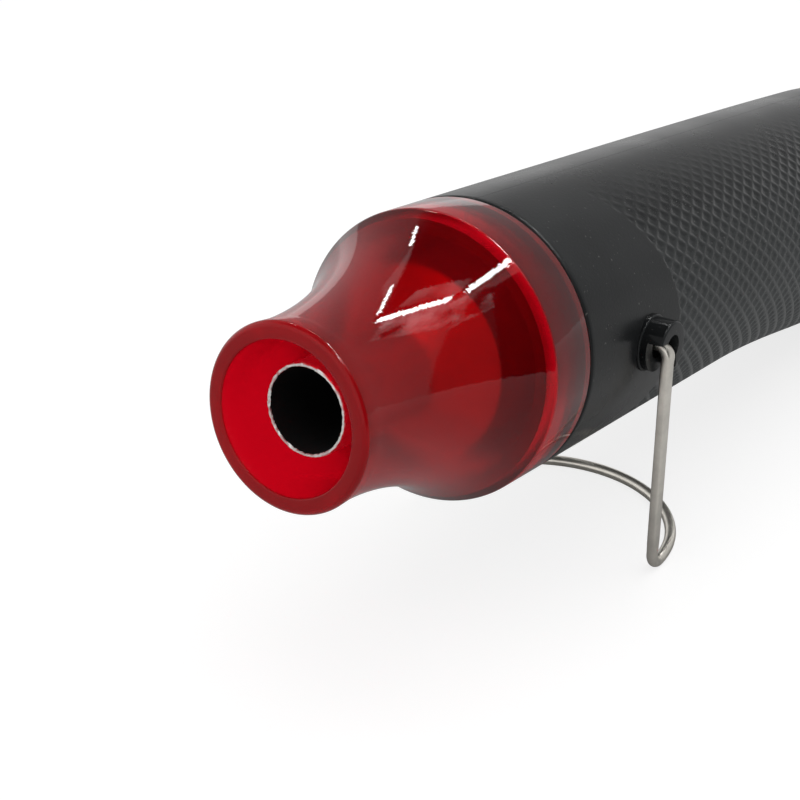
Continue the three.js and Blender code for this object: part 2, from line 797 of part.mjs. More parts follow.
const [leftShell, rightShell] = shells();
piece(tool, 'left_shell', leftShell, 'casing');
piece(tool, 'right_shell', rightShell, 'casing');

// Screws from the right, each with its head in its post's counterbore
screwStations.forEach(({ x, rise }, i) => {
  const screw = turned([
    [-screwReach, 0],
    [-screwReach + 1.2, screwShankRadius],
    [screwHeadSeat + slip, screwShankRadius],
    [screwHeadSeat + slip, screwHeadRadius],
    [screwHeadSeat + slip + screwHeadThickness * 0.6, screwHeadRadius],
    [screwHeadSeat + slip + screwHeadThickness, screwHeadRadius * 0.55],
    [screwHeadSeat + slip + screwHeadThickness, 0],
  ], 14);
  piece(tool, `case_screw_${i + 1}`, screw, 'steel', [x, 0, rise], [0, 0, -Math.PI / 2]);
});

// Rear cap: a dished end with air slots each side of the cord inlet
const capFront = handleRear + slip;
const capMiddle = (topLine(handleRear) + heelLine(handleRear)) / 2;
const bushOuter = bushBore / 2 + bushWall;
function capForm(inset, start, end) {
  const steps = 5;
  const rings = [];
  for (let i = 0; i <= steps; i += 1) {
    const angle = (Math.PI / 2) * (i / steps);
    const share = capFaceShare + (1 - capFaceShare) * Math.cos(angle);
    rings.push(section(handleRear, inset, share, -capFront - start - (end - start) * Math.sin(angle)));
  }
  return lofted(rings);
}
function rearCap() {
  const outer = toSolid(capForm(0, 0, capDepth));
  const dish = toSolid(capForm(capWall, capWall, capDepth - capWall));
  const collar = (inset) => toSolid(lofted([
    section(handleRear, inset, 1, -capFront + capSpigot),
    section(handleRear, inset, 1, -capFront - 1),
  ]));
  const through = toSolid(lofted([
    section(handleRear, shellWall + slip + capWall, 1, -capFront + capSpigot + 1),
    section(handleRear, shellWall + slip + capWall, 1, -capFront - capWall - 1),
  ]));
  const cuts = [dish, through, tableCutter()];
  cuts.push(toSolid(rod(bushOuter + slip, -capFront - capDepth - 1, -capFront, 28)
    .translate(0, 0, capMiddle)));
  for (let i = 0; i < faceSlots; i += 1) {
    for (const side of [1, -1]) {
      const out = bushOuter + bushFlange + 1.2 + slotWidth / 2 + i * slotPitch;
      cuts.push(toSolid(block(capDepth, slotWidth, sideSlotHeight - 2 * i)
        .translate(-capFront - capDepth, side * out, capMiddle)));
    }
  }
  return cutBy(outer.add(collar(shellWall + slip)), cuts);
}
const tail = new THREE.Group();
tool.add(tail);
piece(tail, 'rear_cap', rearCap(), 'casing');

// Cord inlet bush, gripping the cap's wall between two flanges
const capInside = capDepth - capWall;
piece(tail, 'cord_inlet_bush', turned([
  [-capDepth - slip - bushFlangeThickness, bushBore / 2],
  [-capDepth - slip - bushFlangeThickness, bushOuter + bushFlange - 0.6],
  [-capDepth - slip, bushOuter + bushFlange],
  [-capDepth - slip, bushOuter],
  [-capInside + slip, bushOuter],
  [-capInside + slip, bushOuter + bushFlange],
  [-capInside + slip + bushFlangeThickness, bushOuter + bushFlange],
  [-capInside + slip + bushFlangeThickness, bushBore / 2],
], 28), 'rubber', [-capFront, 0, capMiddle]);

// Wire stand: two pressed legs hooked into the bosses, drawn in a little towards a half-round foot.
// The path runs from the left hook to the middle of the foot, and the other half is its mirror image.
function standPath() {
  const splay = rad(legSplay);
  const down = new THREE.Vector3(-Math.sin(lean), 0, -Math.cos(lean));
  const points = [];
  const add = (x, y, z, pressed) => points.push({ at: new THREE.Vector3(x, y, z), pressed });
  const legY = (along) => legSpan - along * Math.tan(splay);
  const bendStart = legSpan - bendRadius;
  add(0, socketInnerEnd + 0.6, 0, 0);
  add(0, bendStart, 0, 0);
  for (let i = 1; i <= 5; i += 1) {
    const a = (Math.PI / 2) * (i / 5);
    const along = bendRadius * (1 - Math.cos(a));
    add(down.x * along, bendStart + bendRadius * Math.sin(a), down.z * along, i / 5);
  }
  const footTurn = Math.PI / 2 - lean;
  const cut = footCorner * Math.tan(footTurn / 2);
  const legEnd = legLength - cut;
  for (const along of [(bendRadius + legEnd) / 2, legEnd - 4]) {
    add(down.x * along, legY(along), down.z * along, 1);
  }
  const centre = new THREE.Vector3(down.x * legEnd, 0, down.z * legEnd)
    .add(new THREE.Vector3(-Math.cos(lean), 0, Math.sin(lean)).multiplyScalar(footCorner));
  for (let i = 0; i <= 4; i += 1) {
    const a = footTurn * (i / 4);
    const x = centre.x + footCorner * Math.cos(lean + a);
    const z = centre.z - footCorner * Math.sin(lean + a);
    add(x, legY(THREE.MathUtils.lerp(legEnd, legLength, i / 4)), z, 0);
  }
  const footHalf = legY(legLength);
  const footX = down.x * legLength - (footDepth - footHalf);
  const footZ = down.z * legLength;
  for (let i = 0; i < 12; i += 1) {
    const a = (Math.PI / 2) * (i / 12);
    add(footX - footHalf * Math.sin(a), footHalf * Math.cos(a), footZ, 0);
  }
  add(footX - footHalf, 0, footZ, 0);
  return points;
}

function standShape() {
  const path = standPath();
  const rings = [];
  let side = new THREE.Vector3(Math.cos(lean), 0, -Math.sin(lean));
  path.forEach(({ at, pressed }, i) => {
    const before = path[Math.max(i - 1, 0)].at;
    const after = i + 1 < path.length ? path[i + 1].at : before.clone().setY(-before.y);
    const along = after.clone().sub(before).normalize();
    side = side.clone().addScaledVector(along, -side.dot(along)).normalize();
    const across = along.clone().cross(side);
    const thin = THREE.MathUtils.lerp(wireDiameter, legThin, pressed) / 2;
    const wide = THREE.MathUtils.lerp(wireDiameter, legWide, pressed) / 2;
    const ring = [];
    for (let j = 0; j < wireSides; j += 1) {
      const a = (2 * Math.PI * j) / wireSides;
      ring.push(at.clone()
        .addScaledVector(side, thin * Math.cos(a))
        .addScaledVector(across, wide * Math.sin(a)));
    }
    rings.push(ring);
  });
  const mirrored = rings.slice(0, -1).reverse()
    .map((ring) => ring.map((point) => point.clone().setY(-point.y)));
  return lofted([...rings, ...mirrored]);
}

// The tool is lowered until its stand's foot and its heel meet the table, with the origin under its middle
tool.position.z = pivotHeight + pivotX * Math.sin(pitch) - pivotRise * Math.cos(pitch);
const stand = new THREE.Group();
stand.position.set(-pivotX * Math.cos(pitch) - pivotRise * Math.sin(pitch), 0, pivotHeight);
model.add(stand);
piece(stand, 'wire_stand', standShape(), 'wire');
model.updateMatrixWorld(true);
const reach = new THREE.Box3().setFromObject(model, true);
const middleX = (reach.min.x + reach.max.x) / 2;
tool.position.x -= middleX;
stand.position.x -= middleX;
model.updateMatrixWorld(true);

export default model;
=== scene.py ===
"""A small hot air tool for craft work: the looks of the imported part.

The tool has a clear red bell nozzle over a steel outlet tube, a black two-part casing with a diamond
grip and a bent handle, a rocker switch, a slotted rear cap and a folding wire stand. Sizes in the
classes are millimetres in the barrel's own frame: X = 0 at the seam between the red cover and the
casing, +X towards the nozzle, +Y to the tool's left and +Z up.
"""

from __future__ import annotations

import json
import logging
import math
from dataclasses import dataclass, field
from enum import Enum
from typing import Any, Iterable, Iterator, Sequence

import bmesh
import bpy
import numpy as np
from mathutils import Matrix, Vector

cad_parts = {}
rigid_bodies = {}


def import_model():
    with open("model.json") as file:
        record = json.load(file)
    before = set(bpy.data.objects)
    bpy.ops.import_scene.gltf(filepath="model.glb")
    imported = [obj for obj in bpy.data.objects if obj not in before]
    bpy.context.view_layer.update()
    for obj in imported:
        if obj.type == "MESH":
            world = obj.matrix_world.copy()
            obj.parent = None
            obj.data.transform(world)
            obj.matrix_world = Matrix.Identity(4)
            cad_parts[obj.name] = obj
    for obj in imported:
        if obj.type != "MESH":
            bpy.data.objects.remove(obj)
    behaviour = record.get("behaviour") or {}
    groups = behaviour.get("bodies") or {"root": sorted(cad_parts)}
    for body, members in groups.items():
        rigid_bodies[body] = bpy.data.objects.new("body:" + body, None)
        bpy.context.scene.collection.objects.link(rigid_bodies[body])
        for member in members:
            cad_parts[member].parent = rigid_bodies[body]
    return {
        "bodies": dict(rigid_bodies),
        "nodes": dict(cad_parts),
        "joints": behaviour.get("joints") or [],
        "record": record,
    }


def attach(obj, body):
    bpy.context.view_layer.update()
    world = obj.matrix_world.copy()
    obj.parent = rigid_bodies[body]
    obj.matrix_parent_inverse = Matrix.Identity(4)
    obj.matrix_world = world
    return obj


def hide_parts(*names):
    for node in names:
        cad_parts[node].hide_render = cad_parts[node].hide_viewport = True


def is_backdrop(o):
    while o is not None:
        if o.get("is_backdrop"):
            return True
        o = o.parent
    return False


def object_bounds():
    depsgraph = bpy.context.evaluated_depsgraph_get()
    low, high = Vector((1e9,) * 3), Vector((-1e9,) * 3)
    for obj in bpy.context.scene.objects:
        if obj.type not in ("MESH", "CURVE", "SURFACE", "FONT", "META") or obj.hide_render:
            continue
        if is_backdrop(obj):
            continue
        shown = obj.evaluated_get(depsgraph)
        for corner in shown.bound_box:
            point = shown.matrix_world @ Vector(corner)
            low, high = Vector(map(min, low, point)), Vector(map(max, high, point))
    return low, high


MM = 0.001
QUARTER = math.pi / 2

# The stand's pivot, and how far from the axis a tool reaches that cuts right through, in millimetres
PIVOT = Vector((-19.9, 0.0, 0.6))
PAST = 40.0

WHITE = (1.0, 1.0, 1.0, 1.0)
BLACK = (0.0, 0.0, 0.0, 1.0)
Colour = tuple[float, float, float]
Outline = Sequence[tuple[float, float]]

log = logging.getLogger("hot_air_tool")


class Body(str, Enum):
    """The bodies that new pieces ride on. The fan's own nodes ride on theirs already."""

    CASING = "casing"
    STAND = "stand"
    ROCKER = "rocker"


class Carve(Enum):
    """What a tool solid does to the solid that it meets."""

    CUT = "DIFFERENCE"
    JOIN = "UNION"


class Side(Enum):
    """The tool's left and right, as signs of Y."""

    LEFT = 1
    RIGHT = -1


# Shapes ---------------------------------------------------------------------------------------------


def pose(place: Sequence[float], angle: float, axis: str) -> Matrix:
    """A turn about an axis through the origin, then a shift to a place."""
    return Matrix.Translation(place) @ Matrix.Rotation(angle, 4, axis)


@dataclass(frozen=True)
class BarrelFrame:
    """The barrel's own frame, tipped nose up as the tool stands on the table."""

    tilt: float
    origin: Vector

    @classmethod
    def from_joints(cls, joints: Sequence[dict[str, Any]]) -> BarrelFrame:
        """Finds the frame from the fan's axis and the stand's pivot.

        Args:
            joints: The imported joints.

        Returns:
            The frame.
        """
        named = {joint["name"]: joint for joint in joints}
        along = named["fan_spin"]["axis"]
        tilt = math.atan2(along[2], along[0])
        turn = Matrix.Rotation(-tilt, 3, "Y")
        return cls(tilt, Vector(named["stand_fold"]["pos_m"]) - turn @ (PIVOT * MM))

    @property
    def matrix(self) -> Matrix:
        """The matrix from metres in the barrel's frame to the world."""
        return pose(self.origin, -self.tilt, "Y")

    def point(self, x: float, y: float, z: float) -> Vector:
        """A place in the world, from millimetres in the barrel's frame."""
        return self.matrix @ (Vector((x, y, z)) * MM)


@dataclass
class Form:
    """A closed surface: points in millimetres and the faces between them."""

    points: np.ndarray
    faces: list[tuple[int, ...]]

    def moved(self, matrix: Matrix) -> Form:
        """The same form, turned and shifted by a matrix in millimetres."""
        turn = np.array(matrix.to_3x3())
        return Form(self.points @ turn.T + np.array(matrix.translation), self.faces)

    def mirrored(self) -> Form:
        """The same form on the other side of the tool."""
        return Form(self.points * (1, -1, 1), [face[::-1] for face in self.faces])

    def outward(self) -> Form:
        """The same form with its faces pointing out.

        Returns:
            The form.
        """
        volume = 0.0
        for face in self.faces[:: max(1, len(self.faces) // 4000)]:
            corners = self.points[list(face)] - self.points.mean(0)
            volume += float(np.dot(corners[0], np.cross(corners[1], corners[2])))
        if volume < 0:
            return Form(self.points, [face[::-1] for face in self.faces])
        return self


def turned(outline: Outline, steps: int = 96, closed: bool = True) -> Form:
    """Turns an outline round the barrel's axis.

    Args:
        outline: Pairs of x and radius, round the whole section of a ring, or from the axis to the axis.
        steps: Steps round the axis.
        closed: Whether the outline closes on itself, as a ring's does.

    Returns:
        The turned form.
    """
    pairs = np.array(outline, float)
    count = len(pairs)
    angles = np.linspace(0, 2 * np.pi, steps, endpoint=False)
    points = np.empty((steps, count, 3))
    points[:, :, 0] = pairs[:, 0]
    points[:, :, 1] = np.outer(np.cos(angles), pairs[:, 1])
    points[:, :, 2] = np.outer(np.sin(angles), pairs[:, 1])
    return Form(points.reshape(-1, 3), grid_faces(steps, count, True, closed)).outward()


def grid_faces(rows: int, columns: int, wrap_rows: bool, wrap_columns: bool) -> list[tuple[int, ...]]:
    """Faces over a grid of points, row by row.

    Args:
        rows: Rows of points.
        columns: Points in a row.
        wrap_rows: Whether the last row joins the first.
        wrap_columns: Whether the last column joins the first.

    Returns:
        The four-sided faces.
    """
    i = np.arange(rows if wrap_rows else rows - 1)[:, None]
    j = np.arange(columns if wrap_columns else columns - 1)[None, :]
    below, right = (i + 1) % rows, (j + 1) % columns
    corners = (i * columns + j, i * columns + right, below * columns + right, below * columns + j)
    return np.stack([np.broadcast_to(c, (i.size, j.size)) for c in corners], -1).reshape(-1, 4).tolist()


def lofted(rings: np.ndarray) -> Form:
    """A closed skin over rings of points, with a flat face on each end.

    Args:
        rings: Rings by points by coordinates.

    Returns:
        The form.
    """
    rows, columns = rings.shape[:2]
    faces = grid_faces(rows, columns, False, True)
    faces.append(tuple(range(columns))[::-1])
    faces.append(tuple(range((rows - 1) * columns, rows * columns)))
    return Form(rings.reshape(-1, 3), faces).outward()


def block(low: Sequence[float], high: Sequence[float]) -> Form:
    """A block between two corners, used to cut with.

    Args:
        low: Its lowest corner.
        high: Its highest corner.

    Returns:
        The form.
    """
    (x0, y0, z0), (x1, y1, z1) = low, high
    rings = np.array([[(x, y0, z0), (x, y1, z0), (x, y1, z1), (x, y0, z1)] for x in (x0, x1)], float)
    return lofted(rings)


def prism(outline: Outline, low: float, high: float, chamfer: float = 0.0, bands: int = 3) -> Form:
    """An outline raised along Z, with its edges rounded off.

    Args:
        outline: Pairs of x and y round the outline, counter-clockwise.
        low: The lower end.
        high: The upper end.
        chamfer: How far the rounding of the edges reaches in.
        bands: Steps in the rounding.

    Returns:
        The form.
    """
    base = np.array(outline, float)
    ahead, behind = np.roll(base, -1, 0) - base, base - np.roll(base, 1, 0)
    normals = np.stack([(ahead + behind)[:, 1], -(ahead + behind)[:, 0]], -1)
    normals /= np.linalg.norm(normals, axis=1)[:, None]
    turns = [QUARTER * k / bands for k in range(bands + 1)] if chamfer else [QUARTER]
    levels = [(chamfer * (1 - math.sin(a)), low + chamfer * (1 - math.cos(a))) for a in turns]
    levels += [(inset, high - (z - low)) for inset, z in levels[::-1]]
    rings = [np.c_[base - normals * inset, np.full(len(base), z)] for inset, z in levels]
    return lofted(np.array(rings))


def rounded_box(length: float, width: float, corner: float, steps: int = 6) -> list[tuple[float, float]]:
    """The outline of a rectangle with round corners, counter-clockwise about the origin.

    Args:
        length: Its size in x.
        width: Its size in y.
        corner: The corners' radius.
        steps: Steps in each corner.

    Returns:
        Pairs of x and y.
    """
    points = []
    for quarter in range(4):
        cx = (length / 2 - corner) * (1 if quarter in (0, 3) else -1)
        cy = (width / 2 - corner) * (1 if quarter in (0, 1) else -1)
        for k in range(steps + 1):
            angle = QUARTER * (quarter + k / steps)
            points.append((cx + corner * math.cos(angle), cy + corner * math.sin(angle)))
    return points


def arc(cx: float, cr: float, radius: float, start: float, end: float, steps: int) -> list[tuple[float, float]]:
    """Points on an arc, from one angle to another in degrees."""
    angles = np.radians(np.linspace(start, end, steps + 1))
    return list(zip(cx + radius * np.cos(angles), cr + radius * np.sin(angles)))


def ease(t: np.ndarray | float) -> np.ndarray:
    """A smooth step from 0 to 1."""
    s = np.clip(t, 0.0, 1.0)
    return s * s * (3 - 2 * s)


def across(radius: float, low: float, high: float, x: float, z: float, steps: int = 48) -> Form:
    """A plain cylinder along Y, used to cut and join with.

    Args:
        radius: Its radius.
        low: Where it starts along Y.
        high: Where it ends along Y.
        x: Its axis's place along the barrel.
        z: Its axis's height.
        steps: Steps round the axis.

    Returns:
        The form.
    """
    form = turned([(low, 0.0), (low, radius), (high, radius), (high, 0.0)], steps, closed=False)
    return form.moved(pose((x, 0, z), QUARTER, "Z"))


def new_object(name: str, data: bpy.types.ID | None) -> bpy.types.Object:
    """Puts an object in the scene.

    Args:
        name: Its name.
        data: Its mesh, lamp or camera.

    Returns:
        The object.
    """
    made = bpy.data.objects.new(name, data)
    bpy.context.scene.collection.objects.link(made)
    return made


def make_piece(name: str, form: Form, frame: BarrelFrame | None, smooth: float = 32.0,
               clean: bool = True) -> bpy.types.Object:
    """Makes a Blender object of a form.

    Args:
        name: The piece's name.
        form: Its shape, in millimetres.
        frame: The frame that the shape is given in, or None for the world's own.
        smooth: Edges sharper than this angle in degrees stay sharp.
        clean: Whether points that lie together are joined.

    Returns:
        The object, at the origin, with its shape in metres.
    """
    mesh = bpy.data.meshes.new(name)
    mesh.from_pydata((form.points * MM).tolist(), [], form.faces)
    if frame is not None:
        mesh.transform(frame.matrix)
    if clean:
        weld(mesh)
    piece = new_object(name, mesh)
    smooth_by_angle(piece, smooth)
    return piece


def weld(mesh: bpy.types.Mesh, distance: float = 2e-6) -> None:
    """Joins points that lie together, as at the ends of a turned form.

    Args:
        mesh: The mesh.
        distance: How near points have to be, in metres.
    """
    work = bmesh.new()
    work.from_mesh(mesh)
    bmesh.ops.remove_doubles(work, verts=work.verts, dist=distance)
    work.to_mesh(mesh)
    work.free()
    mesh.update()


def smooth_by_angle(piece: bpy.types.Object, degrees: float) -> None:
    """Shades a piece smooth, apart from its sharp edges."""
    piece.data.shade_smooth()
    piece.data.set_sharp_from_angle(angle=math.radians(degrees))


def carve(piece: bpy.types.Object, tools: Iterable[tuple[bpy.types.Object, Carve]], smooth: float = 32.0) -> None:
    """Cuts and joins closed pieces in turn, and clears the tools away.

    Args:
        piece: The piece that is changed.
        tools: Each tool with what it does.
        smooth: Edges sharper than this angle in degrees stay sharp.
    """
    tools = list(tools)
    for tool, how in tools:
        step = piece.modifiers.new("carve", "BOOLEAN")
        step.solver = "MANIFOLD"
        step.operation = how.value
        step.object = tool
    graph = bpy.context.evaluated_depsgraph_get()
    graph.update()
    result = bpy.data.meshes.new_from_object(piece.evaluated_get(graph))
    piece.modifiers.clear()
    old, piece.data = piece.data, result
    result.name = piece.name
    bpy.data.meshes.remove(old)
    for tool, _ in tools:
        clear_away(tool)
    smooth_by_angle(piece, smooth)


def copy_of(piece: bpy.types.Object, name: str) -> bpy.types.Object:
    """A copy of a piece with a mesh of its own.

    Args:
        piece: The piece.
        name: The copy's name.

    Returns:
        The copy.
    """
    twin = piece.copy()
    twin.data = piece.data.copy()
    twin.name = twin.data.name = name
    bpy.context.scene.collection.objects.link(twin)
    return twin


def clear_away(piece: bpy.types.Object) -> None:
    """Deletes a piece that was only worked with.

    Args:
        piece: The piece.
    """
    mesh = piece.data
    bpy.data.objects.remove(piece)
    bpy.data.meshes.remove(mesh)


# Finishes -------------------------------------------------------------------------------------------


class NodeSheet:
    """Places nodes in one node tree and wires them."""

    def __init__(self, tree: bpy.types.NodeTree) -> None:
        """Keeps the tree.

        Args:
            tree: The tree that the nodes go into.
        """
        self.tree = tree
        self.column = 0

    def add(self, kind: str, settings: dict[str, Any] | None = None, **inputs: Any) -> bpy.types.Node:
        """Adds a node.

        Args:
            kind: The node's type, without its common first word.
            settings: The node's own settings.
            **inputs: Values or sockets for its inputs, with spaces in their names as underscores, or
                with the letter i and a number for an input by its place.

        Returns:
            The node.
        """
        node = self.tree.nodes.new("ShaderNode" + kind)
        node.location = (self.column * 180, 0)
        self.column += 1
        for name, value in (settings or {}).items():
            setattr(node, name, value)
        for name, value in inputs.items():
            by_place = name[0] == "i" and name[1:].isdigit()
            socket = node.inputs[int(name[1:])] if by_place else node.inputs[name.replace("_", " ")]
            if isinstance(value, bpy.types.NodeSocket):
                self.tree.links.new(value, socket)
            else:
                socket.default_value = value
        return node

    def place(self) -> bpy.types.NodeSocket:
        """Where a point lies on its piece, in metres."""
        return self.add("TexCoord").outputs["Object"]

    def math(self, operation: str, first: Any, second: Any = 0.0, clamp: bool = False) -> bpy.types.NodeSocket:
        """The result of one sum."""
        settings = {"operation": operation, "use_clamp": clamp}
        return self.add("Math", settings, i0=first, i1=second).outputs[0]

    def mix(self, share: Any, first: Any, second: Any) -> bpy.types.NodeSocket:
        """A blend of two colours."""
        node = self.add("Mix", {"data_type": "RGBA"}, i0=share, i6=first, i7=second)
        return node.outputs[2]

    def span(self, value: Any, low: float, high: float, to_low: float, to_high: float) -> bpy.types.NodeSocket:
        """A value stretched from one range to another, and held inside it."""
        node = self.add("MapRange", {"clamp": True}, i0=value, i1=low, i2=high, i3=to_low, i4=to_high)
        return node.outputs[0]

    def noise(self, place: Any, scale: Any, detail: float = 2.0, roughness: float = 0.5) -> bpy.types.NodeSocket:
        """A field of soft noise."""
        node = self.add("TexNoise", None, Vector=place, Scale=scale, Detail=detail, Roughness=roughness)
        return node.outputs[0]


def cleared(owner: bpy.types.Material | bpy.types.World) -> NodeSheet:
    """Takes the nodes that a new material or world starts with away.

    Args:
        owner: The material or world.

    Returns:
        The sheet for its own nodes.
    """
    owner.use_nodes = True
    owner.node_tree.nodes.clear()
    return NodeSheet(owner.node_tree)


def new_group(name: str, takes: dict[str, Any], gives: dict[str, str]) -> tuple[NodeSheet, Any, Any]:
    """Starts a shared effect.

    Args:
        name: The group's name.
        takes: Its inputs, with the value that each starts with.
        gives: Its outputs, with each one's kind of socket.

    Returns:
        The sheet to work on, the node with its inputs and the node that takes its outputs.
    """
    tree = bpy.data.node_groups.new(name, "ShaderNodeTree")
    kinds = {tuple: "NodeSocketColor", float: "NodeSocketFloat"}
    for label, value in takes.items():
        socket = tree.interface.new_socket(label, in_out="INPUT", socket_type=kinds[type(value)])
        socket.default_value = value
    for label, kind in gives.items():
        tree.interface.new_socket(label, in_out="OUTPUT", socket_type=kind)
    start, end = tree.nodes.new("NodeGroupInput"), tree.nodes.new("NodeGroupOutput")
    return NodeSheet(tree), start, end


class Effects:
    """The effects that several finishes share. The noises' scales are per metre."""

    GREY = (0.5, 0.5, 0.5, 1.0)
    SURFACE = {"Colour": "NodeSocketColor", "Roughness": "NodeSocketFloat", "Height": "NodeSocketFloat"}

    def __init__(self) -> None:
        """Builds each effect once."""
        self.moulding = self.build_moulding()
        self.drawing = self.build_drawing()
        self.handling = self.build_handling()

    @staticmethod
    def varied(sheet: NodeSheet, start: bpy.types.Node, field: bpy.types.NodeSocket) -> bpy.types.NodeSocket:
        """The group's roughness, raised and lowered by a field of noise."""
        off = sheet.math("MULTIPLY", sheet.math("SUBTRACT", field, 0.5), start.outputs["Spread"])
        return sheet.math("ADD", start.outputs["Roughness"], sheet.math("MULTIPLY", off, 2.0), clamp=True)

    @staticmethod
    def given(sheet: NodeSheet, end: bpy.types.Node, *results: bpy.types.NodeSocket) -> bpy.types.NodeTree:
        """Wires a group's results to its outputs.

        Args:
            sheet: The group's nodes.
            end: The node that takes its outputs.
            *results: The colour, roughness and height.

        Returns:
            The node group.
        """
        for label, result in zip(Effects.SURFACE, results):
            sheet.tree.links.new(result, end.inputs[label])
        return sheet.tree

    def build_moulding(self) -> bpy.types.NodeTree:
        """The face of a moulding: soft patches, a fine spark-eroded grain and a few specks of dust.

        Returns:
            The node group.
        """
        takes = {"Colour": self.GREY, "Roughness": 0.5, "Spread": 0.08, "Grain": 2200.0, "Dust": 0.2}
        sheet, start, end = new_group("moulding", takes, self.SURFACE)
        place = sheet.place()
        patches = sheet.noise(place, 70.0, 3.0)
        grain = sheet.noise(place, start.outputs["Grain"], 2.0, 0.6)
        specks = sheet.span(sheet.noise(place, 2300.0, 0.0), 0.80, 0.83, 0.0, 1.0)
        dust = sheet.math("MULTIPLY", specks, start.outputs["Dust"], clamp=True)
        lift = sheet.span(patches, 0.3, 0.7, 0.0, 0.05)
        shaded = sheet.mix(lift, start.outputs["Colour"], (0.16, 0.17, 0.18, 1.0))
        dusty = sheet.mix(dust, shaded, (0.5, 0.49, 0.47, 1.0))
        return self.given(sheet, end, dusty, self.varied(sheet, start, patches), grain)

    def build_drawing(self) -> bpy.types.NodeTree:
        """The face of drawn or rolled metal: streaks along its length and faint tarnish.

        Returns:
            The node group.
        """
        takes = {"Colour": self.GREY, "Roughness": 0.3, "Spread": 0.12, "Along": 60.0, "Round": 2600.0,
                 "Tarnish": 0.25}
        sheet, start, end = new_group("drawing", takes, self.SURFACE)
        place = sheet.place()
        parts = sheet.add("SeparateXYZ", None, Vector=place).outputs
        scaled = sheet.add(
            "CombineXYZ", None,
            X=sheet.math("MULTIPLY", parts[0], start.outputs["Along"]),
            Y=sheet.math("MULTIPLY", parts[1], start.outputs["Round"]),
            Z=sheet.math("MULTIPLY", parts[2], start.outputs["Round"]),
        ).outputs[0]
        streaks = sheet.noise(scaled, 1.0, 3.0, 0.6)
        stains = sheet.noise(place, 210.0, 4.0, 0.6)
        stained = sheet.math("MULTIPLY", sheet.span(stains, 0.45, 0.75, 0.0, 1.0), start.outputs["Tarnish"])
        toned = sheet.mix(sheet.span(streaks, 0.25, 0.75, 0.0, 0.35), start.outputs["Colour"],
                          (0.30, 0.29, 0.27, 1.0))
        tarnished = sheet.mix(stained, toned, (0.22, 0.19, 0.15, 1.0))
        return self.given(sheet, end, tarnished, self.varied(sheet, start, streaks), streaks)

    def build_handling(self) -> bpy.types.NodeTree:
        """A polished face that has been handled: smudges, hair scratches and a faint waviness.

        Returns:
            The node group.
        """
        takes = {"Colour": self.GREY, "Roughness": 0.05, "Spread": 0.1, "Deepen": 0.3}
        sheet, start, end = new_group("handling", takes, self.SURFACE)
        place = sheet.place()
        smudges = sheet.span(sheet.noise(place, 95.0, 5.0, 0.62), 0.5, 0.72, 0.0, 1.0)
        squeezed = sheet.add("Mapping", None, Vector=place, Scale=(300.0, 2600.0, 900.0),
                             Rotation=(0.4, 0.2, 0.5)).outputs[0]
        hairs = sheet.span(sheet.noise(squeezed, 1.0, 1.0), 0.68, 0.74, 0.0, 1.0)
        marks = sheet.math("MAXIMUM", smudges, hairs)
        rough = sheet.math("ADD", start.outputs["Roughness"],
                           sheet.math("MULTIPLY", marks, start.outputs["Spread"]), clamp=True)
        deep = sheet.mix(start.outputs["Deepen"], start.outputs["Colour"], BLACK)
        waves = sheet.noise(place, 60.0, 1.0)
        grain = sheet.math("MULTIPLY", sheet.noise(place, 2500.0, 0.0), 0.25)
        tinted = sheet.mix(sheet.span(waves, 0.35, 0.65, 0.0, 1.0), start.outputs["Colour"], deep)
        return self.given(sheet, end, tinted, rough, sheet.math("ADD", waves, grain))


@dataclass(frozen=True)
class Finish:
    """What every finish has: a name, a colour, a roughness and its spread, and the relief's depth in metres."""

    name: str
    colour: Colour
    roughness: float
    spread: float = 0.08
    depth: float = 0.00002

    def effect(self, effects: Effects) -> tuple[bpy.types.NodeTree, dict[str, float]]:
        """The shared effect that this finish uses, with its values."""
        raise NotImplementedError

    def plain(self) -> dict[str, Any]:
        """The shader's own values that are the same all over."""
        raise NotImplementedError

    def toned(self, sheet: NodeSheet, colour: bpy.types.NodeSocket, roughness: bpy.types.NodeSocket
              ) -> tuple[bpy.types.NodeSocket, bpy.types.NodeSocket]:
        """The colour and roughness that reach the shader, which are the effect's own."""
        return colour, roughness

    def build(self, effects: Effects) -> bpy.types.Material:
        """Makes the material.

        Args:
            effects: The shared effects.

        Returns:
            The material.
        """
        material = bpy.data.materials.new(self.name)
        material.diffuse_color = (*self.colour, 1.0)
        sheet = cleared(material)
        tree, values = self.effect(effects)
        group = material.node_tree.nodes.new("ShaderNodeGroup")
        group.node_tree = tree
        shared = {"Colour": (*self.colour, 1.0), "Roughness": self.roughness, "Spread": self.spread}
        for label, value in (shared | values).items():
            group.inputs[label].default_value = value
        colour, roughness = self.toned(sheet, group.outputs["Colour"], group.outputs["Roughness"])
        shader = sheet.add("BsdfPrincipled", None, Base_Color=colour, Roughness=roughness)
        for label, value in self.plain().items():
            shader.inputs[label].default_value = value
        bump = sheet.add("Bump", None, Strength=1.0, Distance=self.depth, Height=group.outputs["Height"])
        sheet.tree.links.new(bump.outputs[0], shader.inputs["Normal"])
        sheet.add("OutputMaterial", None, Surface=shader.outputs[0])
        return material


@dataclass(frozen=True)
class Moulded(Finish):
    """Moulded plastic, ceramic or rubber."""

    grain: float = 2200.0
    dust: float = 0.2
    gloss: float = 0.5

    def effect(self, effects: Effects) -> tuple[bpy.types.NodeTree, dict[str, float]]:
        """The moulding effect, with this finish's values."""
        return effects.moulding, {"Grain": self.grain, "Dust": self.dust}

    def plain(self) -> dict[str, float]:
        """How much the face shines."""
        return {"Specular IOR Level": self.gloss}


